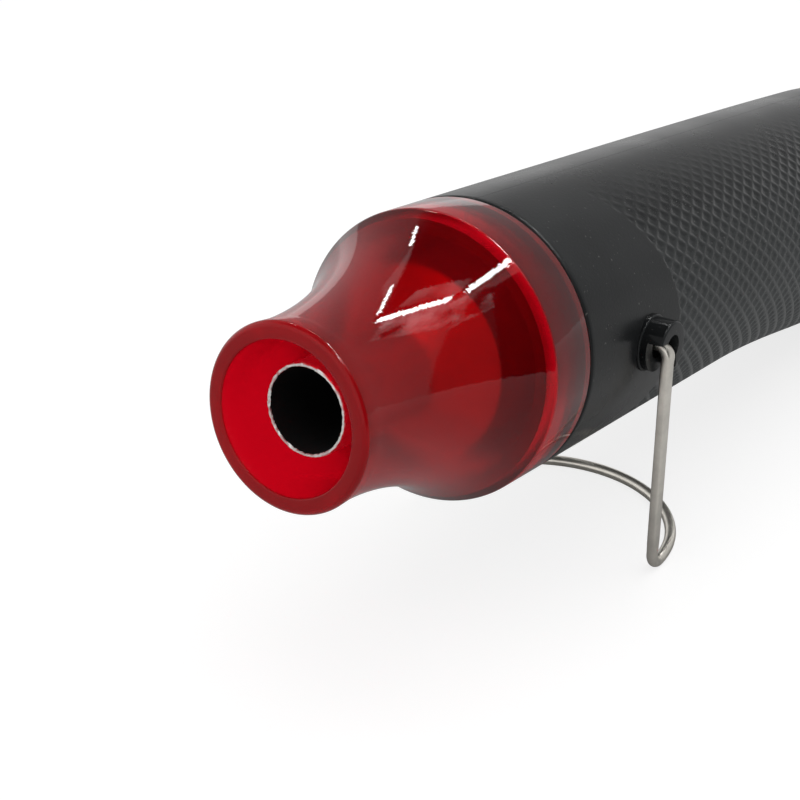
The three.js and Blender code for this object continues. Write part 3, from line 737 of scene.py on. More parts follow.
@dataclass(frozen=True)
class Gripped(Moulded):
    """Moulded plastic that is less smooth over the grip, with painted light that makes the grip paler, most of all
    low on its sides.
    """

    # lift is painted light: the paler tone added over the grip, strongest low on its sides.
    lift: Colour = (0.048, 0.0515, 0.0515)
    grip_roughness: float = 0.36
    place: tuple[float, float, float] = (0.071395, 0.0, 0.0469)
    tilt: float = math.radians(-6.0)
    front: tuple[float, float, float] = (-0.0012, 0.0008, 0.0292)
    rear: tuple[float, float, float] = (-0.176, 0.0, 0.036)
    soft: float = 0.0002
    upper: tuple[float, float] = (-0.2, 0.9)
    lower: tuple[float, float] = (-1.4, -1.0)

    def beyond(self, sheet: NodeSheet, x: bpy.types.NodeSocket, z: bpy.types.NodeSocket,
               arc_line: tuple[float, float, float]) -> bpy.types.NodeSocket:
        """1 outside an arc that ends the grip, 0 within it.

        Args:
            sheet: The material's nodes.
            x: The place along the barrel.
            z: The height above the barrel's axis.
            arc_line: The arc's centre and radius, in metres.

        Returns:
            The mask.
        """
        across_x = sheet.math("SUBTRACT", x, arc_line[0])
        across_z = sheet.math("SUBTRACT", z, arc_line[1])
        square = sheet.math("ADD", sheet.math("MULTIPLY", across_x, across_x),
                            sheet.math("MULTIPLY", across_z, across_z))
        far = sheet.math("SQRT", square, 0.0)
        return sheet.span(far, arc_line[2] - self.soft, arc_line[2] + self.soft, 0.0, 1.0)

    def toned(self, sheet: NodeSheet, colour: bpy.types.NodeSocket, roughness: bpy.types.NodeSocket
              ) -> tuple[bpy.types.NodeSocket, bpy.types.NodeSocket]:
        """Mixes in the grip's own roughness and a painted-light colour that makes the grip paler low on its sides.

        Args:
            sheet: The material's nodes.
            colour: The effect's colour.
            roughness: The effect's roughness.

        Returns:
            The colour and roughness that reach the shader.
        """
        mapping = {"vector_type": "TEXTURE"}
        local = sheet.add("Mapping", mapping, Vector=sheet.place(), Location=self.place,
                          Rotation=(0.0, self.tilt, 0.0)).outputs[0]
        x, y, z = sheet.add("SeparateXYZ", None, Vector=local).outputs[:3]
        angle = sheet.math("ARCTAN2", z, sheet.math("ABSOLUTE", y, 0.0))
        inside = sheet.math("MULTIPLY", self.beyond(sheet, x, z, self.front), self.beyond(sheet, x, z, self.rear))
        # Painted light: the grip is painted paler low on its sides, fading out towards the top.
        high, low = sheet.span(angle, *self.upper, 1.0, 0.0), sheet.span(angle, *self.lower, 0.0, 1.0)
        mask = sheet.math("MULTIPLY", inside, sheet.math("MULTIPLY", high, low))
        painted_light_grip = sheet.add("Mix", {"data_type": "RGBA", "blend_type": "ADD"}, i0=mask, i6=colour,
                          i7=(*self.lift, 1.0)).outputs[2]
        return painted_light_grip, sheet.span(mask, 0.0, 1.0, roughness, self.grip_roughness)


@dataclass(frozen=True)
class Drawn(Finish):
    """Drawn, rolled or turned metal."""

    spread: float = 0.12
    along: float = 60.0
    round_scale: float = 2600.0
    tarnish: float = 0.25
    depth: float = 0.000004

    def effect(self, effects: Effects) -> tuple[bpy.types.NodeTree, dict[str, float]]:
        """The drawing effect, with this finish's values."""
        return effects.drawing, {"Along": self.along, "Round": self.round_scale, "Tarnish": self.tarnish}

    def plain(self) -> dict[str, float]:
        """Metal all over."""
        return {"Metallic": 1.0}


@dataclass(frozen=True)
class Clear(Finish):
    """Clear coloured plastic."""

    spread: float = 0.1
    deepen: float = 0.3
    clearness: float = 0.92
    gloss: float = 0.6

    def effect(self, effects: Effects) -> tuple[bpy.types.NodeTree, dict[str, float]]:
        """The handling effect, with this finish's values."""
        return effects.handling, {"Deepen": self.deepen}

    def plain(self) -> dict[str, Any]:
        """Clear all over, with a faint gloss."""
        tint = (self.gloss, self.gloss, self.gloss, 1.0)
        return {"Transmission Weight": self.clearness, "IOR": 1.49, "Specular Tint": tint}


class Look(Enum):
    """The finishes of the tool."""

    COVER = Clear("clear_red", (0.62, 0.0012, 0.0105), 0.02, spread=0.05, deepen=0.14)
    INNER = Clear("clear_red_inner", (0.66, 0.0012, 0.0105), 0.24, spread=0.02, deepen=0.06, depth=0.000002)
    LIP = Clear("clear_red_lip", (0.56, 0.002, 0.007), 0.16, spread=0.1, clearness=0.42, gloss=0.4,
                depth=0.000005)
    CASING = Gripped("casing_black", (0.0115, 0.0125, 0.013), 0.29, dust=0.15, gloss=0.17)
    BOSS = Moulded("polished_black", (0.002, 0.0022, 0.0024), 0.1, depth=0.000003, dust=0.05, gloss=0.1)
    CAP = Moulded("cap_black", (0.016, 0.017, 0.018), 0.5, dust=0.15)
    OUTLET = Drawn("outlet_steel", (0.82, 0.80, 0.76), 0.34)
    CUT_EDGE = Drawn("cut_steel", (0.86, 0.86, 0.84), 0.42, along=2600.0, tarnish=0.0, depth=0.00002)
    OXIDE = Drawn("oxidised_steel", (0.055, 0.048, 0.044), 0.45, along=900.0, tarnish=0.4)
    # The bore's near-black colour is painted shade, standing in for the shade deep inside the tube.
    BORE_PAINTED_SHADE = Moulded("bore_painted_shade", (0.004, 0.0035, 0.0035), 0.6, dust=0.0, gloss=0.2)
    WIRE = Drawn("stand_wire", (0.92, 0.88, 0.80), 0.33, spread=0.03, along=260.0, round_scale=260.0,
                 tarnish=0.03, depth=0.0000005)
    MICA = Moulded("mica", (0.50, 0.34, 0.17), 0.42, grain=900.0, depth=0.00006, dust=0.5)
    CERAMIC = Moulded("ceramic", (0.62, 0.58, 0.50), 0.7, grain=1500.0, depth=0.00004)
    # The front ring's near-black colour is painted shade, standing in for the shade inside the red cover.
    FRONT_RING = Moulded("front_ring", (0.030, 0.026, 0.024), 0.62, grain=1500.0, depth=0.00003, dust=0.1)
    HEATING = Drawn("heating_wire", (0.30, 0.26, 0.23), 0.5, along=1800.0, tarnish=0.6)
    BAKELITE = Moulded("brown_moulding", (0.050, 0.030, 0.022), 0.42)
    FAN = Moulded("fan_black", (0.030, 0.033, 0.036), 0.38)
    PLATED = Drawn("plated_steel", (0.62, 0.62, 0.60), 0.3, along=900.0)
    MAGNET = Moulded("magnet", (0.045, 0.045, 0.050), 0.6, grain=3200.0)
    COPPER = Drawn("copper_winding", (0.62, 0.25, 0.11), 0.38, along=2600.0, round_scale=300.0)
    BOARD = Moulded("board_green", (0.030, 0.19, 0.070), 0.4, grain=5200.0)
    COMPONENT = Moulded("component_black", (0.018, 0.018, 0.020), 0.3, depth=0.000006)
    LEAD = Moulded("lead_red", (0.40, 0.020, 0.020), 0.38, depth=0.000006)
    SWITCH = Moulded("switch_black", (0.022, 0.023, 0.025), 0.3, depth=0.000008)
    ROCKER = Moulded("rocker_red", (0.50, 0.014, 0.012), 0.22, depth=0.000006, dust=0.25)
    MARK = Moulded("mark_white", (0.82, 0.82, 0.80), 0.5, depth=0.000006, dust=0.0)
    BRASS = Drawn("brass_tab", (0.66, 0.47, 0.20), 0.32, along=500.0)
    RUBBER = Moulded("bush_rubber", (0.020, 0.020, 0.021), 0.72, grain=1300.0, depth=0.00005)
    SCREW = Drawn("screw_steel", (0.55, 0.55, 0.54), 0.3, along=2200.0)


class Dresser:
    """Hands out the materials, each made once."""

    def __init__(self) -> None:
        """Starts with the shared effects and no materials."""
        self.effects = Effects()
        self.made: dict[Look, bpy.types.Material] = {}

    def material(self, look: Look) -> bpy.types.Material:
        """The material of a finish.

        Args:
            look: The finish.

        Returns:
            The material.
        """
        if look not in self.made:
            self.made[look] = look.value.build(self.effects)
        return self.made[look]

    def dress(self, piece: bpy.types.Object, *looks: Look) -> bpy.types.Object:
        """Gives a piece its finishes, in the order of its material indices.

        Args:
            piece: The piece.
            *looks: The finishes.

        Returns:
            The piece.
        """
        piece.data.materials.clear()
        for look in looks:
            piece.data.materials.append(self.material(look))
        return piece


@dataclass
class Workshop:
    """What every sub-assembly works with."""

    frame: BarrelFrame
    dresser: Dresser
    nodes: dict[str, bpy.types.Object]

    def tool(self, form: Form) -> bpy.types.Object:
        """A form made into a piece to cut or join with."""
        return make_piece("tool", form, self.frame)

    def table(self) -> bpy.types.Object:
        """What lies below the table's top, to cut a flat heel with."""
        return make_piece("table", block((-300, -100, -60), (300, 100, 0)), None)

    def faces(self, piece: bpy.types.Object) -> Iterator[tuple[bpy.types.MeshPolygon, Vector, Vector, bool]]:
        """The faces of a piece that is turned round the barrel's axis.

        Args:
            piece: The piece.

        Yields:
            Each face, with its middle and its normal in the barrel's frame, and whether it faces the axis.
        """
        back = self.frame.matrix.inverted()
        for face in piece.data.polygons:
            centre, normal = back @ face.center / MM, back.to_3x3() @ face.normal
            yield face, centre, normal, normal.y * centre.y + normal.z * centre.z < 0

    def settle(self, piece: bpy.types.Object, body: Body, slot: str, *nodes: str) -> None:
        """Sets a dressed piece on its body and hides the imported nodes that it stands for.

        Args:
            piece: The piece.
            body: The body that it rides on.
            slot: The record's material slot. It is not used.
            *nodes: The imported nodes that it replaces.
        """
        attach(piece, body.value)
        if nodes:
            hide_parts(*nodes)
        log.info("%s: %d faces on %s", piece.name, len(piece.data.polygons), body.value)

    def finish(self, piece: bpy.types.Object, look: Look, body: Body, slot: str, *nodes: str) -> None:
        """Dresses a piece in one finish and settles it."""
        self.dresser.dress(piece, look)
        self.settle(piece, body, slot, *nodes)


# The tool's sub-assemblies ---------------------------------------------------------------------------


@dataclass(frozen=True)
class CasingOutline:
    """The outline of the casing along the barrel and the handle."""

    radius: float = 22.8
    rear: float = 178.0
    top_bend: float = 140.0
    top_drop: float = 9.0
    heel_start: float = 66.0
    heel_end: float = 160.0
    heel_drop: float = 6.7
    narrow_start: float = 110.0
    narrowing: float = 3.0

    def top(self, back: np.ndarray) -> np.ndarray:
        """The height of the top, so far behind the seam."""
        t = np.maximum(back - self.top_bend, 0) / (self.rear - self.top_bend)
        return self.radius - self.top_drop * t * t

    def heel(self, back: np.ndarray) -> np.ndarray:
        """The height of the underside, so far behind the seam."""
        share = (back - self.heel_start) / (self.heel_end - self.heel_start)
        return -self.radius - self.heel_drop * ease(share)

    def half(self, back: np.ndarray) -> np.ndarray:
        """Half the width, so far behind the seam."""
        return self.radius - self.narrowing * ease((back - self.narrow_start) / (self.rear - self.narrow_start))

    def rings(self, backs: np.ndarray, steps: int, inset: np.ndarray | float = 0.0,
              x: np.ndarray | None = None, share: np.ndarray | float = 1.0) -> np.ndarray:
        """Sections of the casing.

        Args:
            backs: How far behind the seam each section's shape is taken.
            steps: Points in a section.
            inset: How far the sections are drawn in.
            x: Where the sections stand, if not at their own places.
            share: The share of their size that the sections keep.

        Returns:
            Sections by points by coordinates.
        """
        backs = np.atleast_1d(np.asarray(backs, float))
        angles = np.linspace(0, 2 * np.pi, steps, endpoint=False)
        middle = (self.top(backs) + self.heel(backs)) / 2
        height = ((self.top(backs) - self.heel(backs)) / 2 - inset) * share
        width = (self.half(backs) - inset) * share
        rings = np.empty((len(backs), steps, 3))
        rings[:, :, 0] = (-backs if x is None else x)[:, None]
        rings[:, :, 1] = np.outer(width, np.cos(angles))
        rings[:, :, 2] = middle[:, None] + np.outer(height, np.sin(angles))
        return rings


@dataclass(frozen=True)
class DiamondGrip:
    """The raised net of diamonds moulded into each side of the casing.

    The net's lines cross in diamonds of equal height all the way round, so it is laid out along the
    barrel and by the angle from the tool's side. The skin is divided so that each diamond gets the same
    number of steps.
    """

    pitch: float = 4.25
    pitch_steps: int = 12
    round_count: int = 50
    round_steps: int = 9
    shift: float = 1.22
    lift: float = 0.8
    depth: float = 0.3
    ridge: float = 0.2
    slope: float = 0.34
    fade_start: float = 46.0
    fade_top: float = 16.0
    fade_end: float = 80.0
    front_centre: tuple[float, float] = (-1.2, 0.8)
    front_radius: float = 29.2
    rear_centre: tuple[float, float] = (-176.0, 0.0)
    rear_radius: float = 36.0
    border: float = 0.35

    @property
    def steps(self) -> int:
        """Steps round the casing."""
        return self.round_count * self.round_steps

    def stations(self, start: float, end: float) -> np.ndarray:
        """Places along the barrel that keep step with the net.

        Args:
            start: Where they start.
            end: Where they end.

        Returns:
            The places.
        """
        step = self.pitch / self.pitch_steps
        first, last = math.ceil((start - self.shift) / step), math.floor((end - self.shift) / step)
        return self.shift + step * np.arange(first, last + 1)

    def hollow(self, places: np.ndarray, angles: np.ndarray) -> np.ndarray:
        """How deep the grip is below the casing's face.

        Args:
            places: Sections by points by coordinates, on the casing's face.
            angles: The angle of each point in a section, in degrees from the tool's left.

        Returns:
            The depths, section by section.
        """
        x, z = places[:, :, 0], places[:, :, 2]
        turned_back = (angles + 90.0) % 360.0 - 90.0
        side = np.where(turned_back > 90.0, 180.0 - turned_back, turned_back)
        along = (-x - self.shift) / self.pitch
        up = (side - self.lift) * self.round_count / 360.0
        ridges = [np.abs((t % 1.0) * 2 - 1) for t in (along + up, along - up)]
        pits = ease((1 - self.ridge - np.maximum(*ridges)) / self.slope)
        front = np.hypot(x - self.front_centre[0], z - self.front_centre[1]) - self.front_radius
        rear = np.hypot(x - self.rear_centre[0], z - self.rear_centre[1]) - self.rear_radius
        inside = ease(np.minimum(front, rear) / self.border)
        start = np.where(side > 0, self.fade_top, self.fade_start)
        fade = 1 - ease((np.abs(side) - start) / (self.fade_end - start))
        return self.depth * pits * inside * fade


@dataclass
class Casing:
    """The two black shells with their grip, bosses, slots and screw rooms."""

    shop: Workshop
    outline: CasingOutline = field(default_factory=CasingOutline)
    grip: DiamondGrip = field(default_factory=DiamondGrip)
    wall: float = 2.2
    parting: float = 0.05
    groove: float = 0.5
    rounding: float = 0.4
    grip_start: float = 19.0
    grip_end: float = 148.0
    boss_radius: float = 4.4
    boss_face: float = 26.6
    boss_soft: float = 0.45
    boss_draft: float = 0.2
    step_radius: float = 4.7
    step_start: float = 20.5
    step_face: float = 23.1
    step_soft: float = 0.25
    boss_hole: float = 2.2
    socket_end: float = 17.2
    socket_radius: float = 1.3
    slot_half: float = 1.3
    slot_floor: float = 24.2
    slot_reach: float = 9.1
    stand_angle: float = -103.5
    screw_head: float = 2.9
    screw_hole: float = 1.6
    screw_seat: float = 7.0
    screw_depth: float = 9.3
    screw_front: float = 34.0
    screw_rise: float = 17.5
    screw_middle: float = 112.0
    screw_rear: float = 12.0
    screw_inset: float = 5.2
    post_radius: float = 3.0
    post_reach: float = 30.0
    vent_width: float = 1.8
    vent_height: float = 13.0
    vent_pitch: float = 3.8
    vent_room: float = 22.0
    vents: int = 5

    def backs(self) -> np.ndarray:
        """Where the skin's sections stand: close together over the grip, and at the rounded ends.

        Returns:
            The places, behind the seam.
        """
        edge = np.array([0.0, 0.02, 0.08, 0.2, self.rounding])
        smooth = np.arange(self.groove + 1.1, self.grip_start - 0.2, 1.3)
        grip = self.grip.stations(self.grip_start, self.grip_end)
        rear = np.arange(self.grip_end + 0.6, self.outline.rear - 1.4, 1.2)
        return np.concatenate([self.groove + edge, smooth, grip, rear, self.outline.rear - edge[::-1]])

    def skin(self) -> Form:
        """The casing's outer face, with the grip sunk into it.

        Returns:
            The form.
        """
        backs = self.backs()
        reach = np.minimum(backs - backs[0], backs[-1] - backs)
        short = np.maximum(self.rounding - reach, 0)
        inset = self.rounding - np.sqrt(self.rounding ** 2 - short ** 2)
        rings = self.outline.rings(backs, self.grip.steps, inset)
        middle = (self.outline.top(backs) + self.outline.heel(backs)) / 2
        outward = rings - np.stack([-backs, 0 * backs, middle], -1)[:, None, :]
        outward /= np.linalg.norm(outward, axis=2)[:, :, None]
        angles = np.arange(self.grip.steps) * 360.0 / self.grip.steps
        return lofted(rings - outward * self.grip.hollow(rings, angles)[:, :, None])

    def screws(self) -> list[tuple[float, float]]:
        """Where the casing's screws stand, seen from the side.

        Returns:
            Pairs of x and z.
        """
        inset, middle, outline = self.screw_inset, self.screw_middle, self.outline
        places = [(-self.screw_front, self.screw_rise), (-self.screw_front, -self.screw_rise)]
        places.append((-middle, float(outline.top(middle)) - inset))
        lower = (middle, outline.rear - self.screw_rear)
        return places + [(-back, float(outline.heel(back)) + inset) for back in lower]

    def room(self) -> bpy.types.Object:
        """The hollow inside the casing, before anything stands in it.

        Returns:
            The piece.
        """
        # Few sections where the barrel is straight, and more where the handle bends
        bend = self.outline.heel_start
        backs = np.concatenate([np.linspace(-1, bend, 12), np.linspace(bend + 4, self.outline.rear + 1, 40)])
        return make_piece("room", lofted(self.outline.rings(backs, 96, self.wall)), self.shop.frame)

    def standing(self, switch: Switch) -> list[bpy.types.Object]:
        """What stands in the hollow: the posts, the switch's seat and the bosses."""
        posts = [across(self.post_radius, -self.post_reach, self.post_reach, x, z) for x, z in self.screws()]
        return [self.shop.tool(form) for form in (*posts, switch.seat(), self.boss(), self.boss().mirrored())]

    def openings(self, switch: Switch) -> list[bpy.types.Object]:
        """Everything that is cut through the shells.

        Args:
            switch: The switch that stands in them.

        Returns:
            The pieces to cut with.
        """
        tool = self.shop.tool
        cuts = [tool(switch.hole())]
        slot = prism(rounded_box(self.vent_width, self.vent_height, self.vent_width / 2 - 0.01), -PAST, PAST)
        for k in range(self.vents):
            back = self.outline.rear - self.vent_room + k * self.vent_pitch
            middle = float(self.outline.top(back) + self.outline.heel(back)) / 2
            cuts.append(tool(slot.moved(pose((-back, 0, middle), QUARTER, "X"))))
        for x, z in self.screws():
            cuts.append(tool(across(self.screw_head, -1.5 * PAST, -self.screw_seat, x, z)))
            cuts.append(tool(across(self.screw_hole, -self.screw_seat - 1, self.screw_depth, x, z)))
        cuts.append(self.shop.table())
        for form in self.boss_cuts():
            cuts += [tool(form), tool(form.mirrored())]
        return cuts

    def boss(self) -> Form:
        """The left boss that the stand turns in, with its step and rounded edges.

        Returns:
            The form.
        """
        base, top, soft, edge = self.socket_end, self.boss_face, self.boss_soft, self.step_soft
        outline = [(base, 0.0), (base, self.boss_radius - self.boss_draft), (self.step_start, self.step_radius)]
        outline += arc(self.step_face - edge, self.step_radius - edge, edge, 90, 0, 4)
        outline += [(self.step_face, self.boss_radius)]
        outline += arc(top - soft, self.boss_radius - soft, soft, 90, 0, 6)
        outline += [(top, 0.0)]
        return turned(outline, 96, closed=False).moved(pose(PIVOT, QUARTER, "Z"))

    def boss_cuts(self) -> list[Form]:
        """The socket, the mouth and the slot that lets the left leg swing forward.

        Returns:
            The forms to cut with.
        """
        x, _, z = PIVOT
        start, end, reach = math.radians(self.stand_angle), 0.0, self.slot_reach
        fan = [(reach * math.cos(a), reach * math.sin(a)) for a in np.linspace(start, end, 40)]
        beside = np.array([math.sin(start), -math.cos(start)]) * self.slot_half
        above = np.array([0.0, self.slot_half])
        sweep = [tuple(beside), tuple(np.array(fan[0]) + beside), *fan,
                 tuple(np.array(fan[-1]) + above), tuple(above)]
        slot = prism(sweep, self.slot_floor, PAST)
        upright = Matrix.Translation((x, 0, z)) @ Matrix(((1, 0, 0, 0), (0, 0, 1, 0), (0, 1, 0, 0), (0, 0, 0, 1)))
        return [
            slot.moved(upright).outward(),
            across(self.boss_hole, self.outline.radius, PAST, x, z, 64),
            across(self.socket_radius, self.socket_end - 1, PAST, x, z, 32),
        ]

    def whole(self, switch: Switch) -> bpy.types.Object:
        """Both shells in one, before they are parted.

        Args:
            switch: The switch that stands in them.

        Returns:
            The piece, dressed.
        """
        dresser = self.shop.dresser
        added = [self.shop.tool(form) for form in (self.boss(), self.boss().mirrored(), switch.seat())]
        piece = make_piece("casing_whole", self.skin(), self.shop.frame, clean=False)
        cutter = self.room()
        for part in (piece, cutter, *added):
            dresser.dress(part, Look.CASING, Look.BOSS)
        for boss in added[:2]:
            for face in boss.data.polygons:
                face.material_index = 1 if abs(face.normal.y) < 0.5 else 0
        steps = [(part, Carve.CUT) for part in self.standing(switch)]
        steps += [(part, Carve.JOIN) for part in self.openings(switch)]
        carve(cutter, steps)
        carve(piece, [*((part, Carve.JOIN) for part in added), (cutter, Carve.CUT)])
        return piece

    def build(self, switch: Switch) -> None:
        """Makes both shells.

        Args:
            switch: The switch that stands in them.
        """
        whole = self.whole(switch)
        for side in Side:
            name = side.name.lower()
            piece = copy_of(whole, f"casing_{name}")
            low, high = sorted((-side.value * 2 * PAST, side.value * self.parting / 2))
            half = block((-10 * PAST, low, -5 * PAST), (10 * PAST, high, 5 * PAST))
            carve(piece, [(self.shop.tool(half), Carve.CUT)])
            self.shop.settle(piece, Body.CASING, "casing", f"{name}_shell")
        clear_away(whole)


@dataclass
class NozzleCover:
    """The clear red cover: a straight collar, a steep shoulder, a long neck and a rounded lip."""

    shop: Workshop
    length: float = 44.09
    collar: float = 10.1
    radius: float = 22.8
    edge: float = 1.2
    wall: float = 2.1
    throat: float = 13.55
    throat_x: float = 40.4
    lip: float = 13.75
    lip_rounding: float = 0.9
    mouth_rounding: float = 0.3
    collar_rounding: float = 0.25
    slope: float = 0.75
    reach: float = 10.8
    throat_reach: float = 6.0
    spigot: float = 6.0
    spigot_radius: float = 20.3
    steps: int = 160

    def curve(self, inset: float, count: int = 44) -> list[tuple[float, float]]:
        """The shoulder and neck, drawn in by a wall.

        Args:
            inset: How far the curve is drawn in.
            count: Points on it.

        Returns:
            Pairs of x and radius.
        """
        start = np.array([self.collar, self.radius - inset])
        end = np.array([self.throat_x, self.throat - inset])
        one = start + (self.reach, -self.slope * self.reach)
        two = end - (self.throat_reach, 0)
        t = np.linspace(0, 1, count)[:, None]
        points = (1 - t) ** 3 * start + 3 * (1 - t) ** 2 * t * one + 3 * (1 - t) * t * t * two + t ** 3 * end
        return [tuple(p) for p in points]

    def outline(self) -> list[tuple[float, float]]:
        """The cover's whole section.

        Returns:
            Pairs of x and radius.
        """
        turn = math.atan(self.slope)
        inner_radius = self.spigot_radius - self.wall
        mouth = self.lip - self.wall - self.lip_rounding / 2
        soft, lip, inner = self.collar_rounding, self.lip_rounding, self.mouth_rounding
        points = [(-self.spigot, inner_radius), (-self.spigot, self.spigot_radius), (0.0, self.spigot_radius)]
        points += arc(soft, self.radius - soft, soft, 180, 90, 4)
        points += arc(self.collar - self.edge * math.tan(turn / 2), self.radius - self.edge, self.edge,
                      90, 90 - math.degrees(turn), 8)
        points += self.curve(0)[2:]
        points += arc(self.length - lip, self.lip - lip, lip, 84, 0, 10)
        points += arc(self.length - inner, mouth + inner, inner, 0, -90, 4)
        points += self.curve(self.wall)[::-1]
        points += [(self.collar - self.wall / 2, inner_radius)]
        return points

    def build(self) -> None:
        """Makes the cover, with its front ring and its inner wall in duller finishes than the rest."""
        piece = make_piece("nozzle_bell", turned(self.outline(), self.steps), self.shop.frame, 40)
        self.shop.dresser.dress(piece, Look.COVER, Look.LIP, Look.INNER)
        for face, centre, normal, inward in self.shop.faces(piece):
            if centre.x > self.length - self.lip_rounding * 0.7:
                face.material_index = 1
            elif inward and abs(normal.x) < 0.95:
                face.material_index = 2
        self.shop.settle(piece, Body.CASING, "nozzle_cover", "nozzle_cover")


@dataclass
class OutletTube:
    """The thin steel tube: a narrow mouth with a rough cut edge, a cone and the heater's wide tube."""

    shop: Workshop
    front: float = 39.5
    length: float = 20.5
    cone: float = 6.6
    radius: float = 6.75
    wide: float = 14.2
    wide_rear: float = -52.0
    cone_step: tuple[float, float] = (14.0, 11.1)
    wall: float = 0.5
    steps: int = 144
    burr: float = 0.09

    def outline(self) -> list[tuple[float, float]]:
        """The tube's section, with bends rounded where the cone starts and ends.

        Returns:
            Pairs of x and radius.
        """
        cone_front = self.front - self.length
        cone_rear = cone_front - self.cone
        bend = 0.8
        step_x, step_radius = self.cone_step
        # A pair of points rounds each bend off: at the wide end, at the step and at the narrow end
        path = [(self.wide_rear, self.wide), (cone_rear - bend, self.wide)]
        path += [(cone_rear - 0.1, self.wide - 0.12), (cone_rear + 0.3, self.wide - 0.6)]
        path += [(step_x - 0.15, step_radius + 0.35), (step_x + 0.35, step_radius - 0.3)]
        path += [(cone_front - bend * 0.6, self.radius + 0.62), (cone_front, self.radius + 0.18)]
        path += [(x, self.radius) for x in (cone_front + bend, self.front - 0.6, self.front - 0.12)]
        inner = [(x, r - self.wall) for x, r in path[::-1]]
        return path + [(self.front, self.radius - 0.1), (self.front, self.radius - self.wall + 0.1)] + inner

    def build(self) -> None:
        """Makes the tube, with a burr round its cut edge."""
        form = turned(self.outline(), self.steps)
        at_edge = form.points[:, 0] > self.front - 0.2
        rng = np.random.default_rng(7)
        ragged = rng.uniform(-1, 1, len(form.points))
        radius = np.hypot(form.points[:, 1], form.points[:, 2])
        form.points[at_edge, 0] -= self.burr * (0.5 + 0.5 * ragged[at_edge])
        scale = 1 + (self.burr * 0.6 * np.roll(ragged, 3)) / radius
        form.points[at_edge, 1:] *= scale[at_edge, None]
        piece = make_piece("outlet_steel", form, self.shop.frame)
        self.shop.dresser.dress(piece, Look.OUTLET, Look.CUT_EDGE, Look.BORE_PAINTED_SHADE, Look.OXIDE)
        self.mark_faces(piece)
        self.shop.settle(piece, Body.CASING, "outlet_steel", "outlet_tube")

    def mark_faces(self, piece: bpy.types.Object) -> None:
        """Gives the cut edge, the bore and the part over the heater their own finishes.

        Args:
            piece: The tube.
        """
        cone_rear = self.front - self.length - self.cone
        for face, centre, normal, inward in self.shop.faces(piece):
            if centre.x > self.front - 0.35:
                face.material_index = 1
            # The bore gets painted shade: near black, for the shade deep inside the tube.
            elif inward and abs(normal.x) < 0.9:
                face.material_index = 2
            elif centre.x < cone_rear - 0.3:
                face.material_index = 3


@dataclass
class WireStand:
    """The folding stand: wire pressed flat from the sides along its legs, hooked into both bosses."""

    shop: Workshop
    pivot: Vector
    wire: float = 2.0
    wide: float = 2.3
    thin: float = 1.6
    span: float = 25.9
    length: float = 44.8
    lean: float = 7.5
    splay: float = 3.0
    depth: float = 25.3
    hook: float = 17.8
    bend: float = 2.0
    corner: float = 3.0
    tip_share: float = 0.72
    tip_length: float = 0.3
    squareness: float = 0.58
    easing: float = 2.6
    sides: int = 24

    def path(self) -> list[tuple[Vector, float]]:
        """Half of the wire's middle line, from the left hook to the middle of the foot.

        Returns:
            Each point with how far the wire is pressed flat there.
        """
        lean = math.radians(self.lean)
        down = Vector((-math.sin(lean), 0, -math.cos(lean)))
        slant = math.tan(math.radians(self.splay))
        points = [(Vector((0, y, 0)), 0.0) for y in np.linspace(self.hook, self.span - self.bend, 8)]
        for share in np.linspace(0, 1, 13)[1:]:
            a = QUARTER * share
            along = self.bend * (1 - math.cos(a))
            at = down * along + Vector((0, self.span - self.bend + self.bend * math.sin(a), 0))
            points.append((at, float(ease(share))))
        turn = QUARTER - lean
        end = self.length - self.corner * math.tan(turn / 2)
        for s in np.linspace(self.bend + 1.5, end - 0.6, 34):
            pressed = 1.0 - float(ease((s - end + 0.6 + self.easing) / self.easing))
            points.append((down * s + Vector((0, self.span - s * slant, 0)), pressed))
        centre = down * end + Vector((-math.cos(lean), 0, math.sin(lean))) * self.corner
        for share in np.linspace(0, 1, 11):
            a = turn * share
            y = self.span - (end + (self.length - end) * share) * slant
            around = Vector((math.cos(lean + a), 0, -math.sin(lean + a))) * self.corner
            points.append((Vector((centre.x + around.x, y, centre.z + around.z)), 0.0))
        half = self.span - self.length * slant
        foot = down * self.length - Vector((self.depth - half, 0, 0))
        for a in np.linspace(0, QUARTER, 41):
            points.append((foot + Vector((-half * math.sin(a), half * math.cos(a), 0)), 0.0))
        return points

    def section(self, pressed: float) -> np.ndarray:
        """The wire's section, from round to pressed flat with round edges.

        Args:
            pressed: 0 for round wire, 1 for a pressed leg.

        Returns:
            Points by width, along the barrel, and thickness, across it.
        """
        angles = np.linspace(0, 2 * np.pi, self.sides, endpoint=False)
        power = 1.0 - self.squareness * pressed
        thin = (self.wire + (self.thin - self.wire) * pressed) / 2
        wide = (self.wire + (self.wide - self.wire) * pressed) / 2
        c, s = np.cos(angles), np.sin(angles)
        return np.stack([wide * np.sign(c) * np.abs(c) ** power, thin * np.sign(s) * np.abs(s) ** power], -1)

    def form(self) -> Form:
        """The whole wire.

        Returns:
            The form.
        """
        path = self.path()
        lean = math.radians(self.lean)
        side = Vector((math.cos(lean), 0, -math.sin(lean)))
        rings = []
        for i, (at, pressed) in enumerate(path):
            before = path[max(i - 1, 0)][0]
            last = i + 1 == len(path)
            after = Vector((before.x, -before.y, before.z)) if last else path[i + 1][0]
            along = (after - before).normalized()
            side = (side - along * side.dot(along)).normalized()
            breadth = along.cross(side)
            rings.append([at + side * a + breadth * b for a, b in self.section(pressed)])
        half = np.array([[tuple(p) for p in ring] for ring in rings])
        middle = half[0].mean(0)
        tip = (half[0] - middle) * self.tip_share + middle - np.array([0, self.tip_length, 0])
        half = np.concatenate([tip[None], half])
        return lofted(np.concatenate([half, half[:-1][::-1] * (1, -1, 1)]))

    def build(self) -> None:
        """Makes the stand."""
        form = self.form()
        form.points += np.array(self.pivot) / MM
        piece = make_piece("stand_wire", form, None, 50)
        self.shop.finish(piece, Look.WIRE, Body.STAND, "stand_wire", "wire_stand")


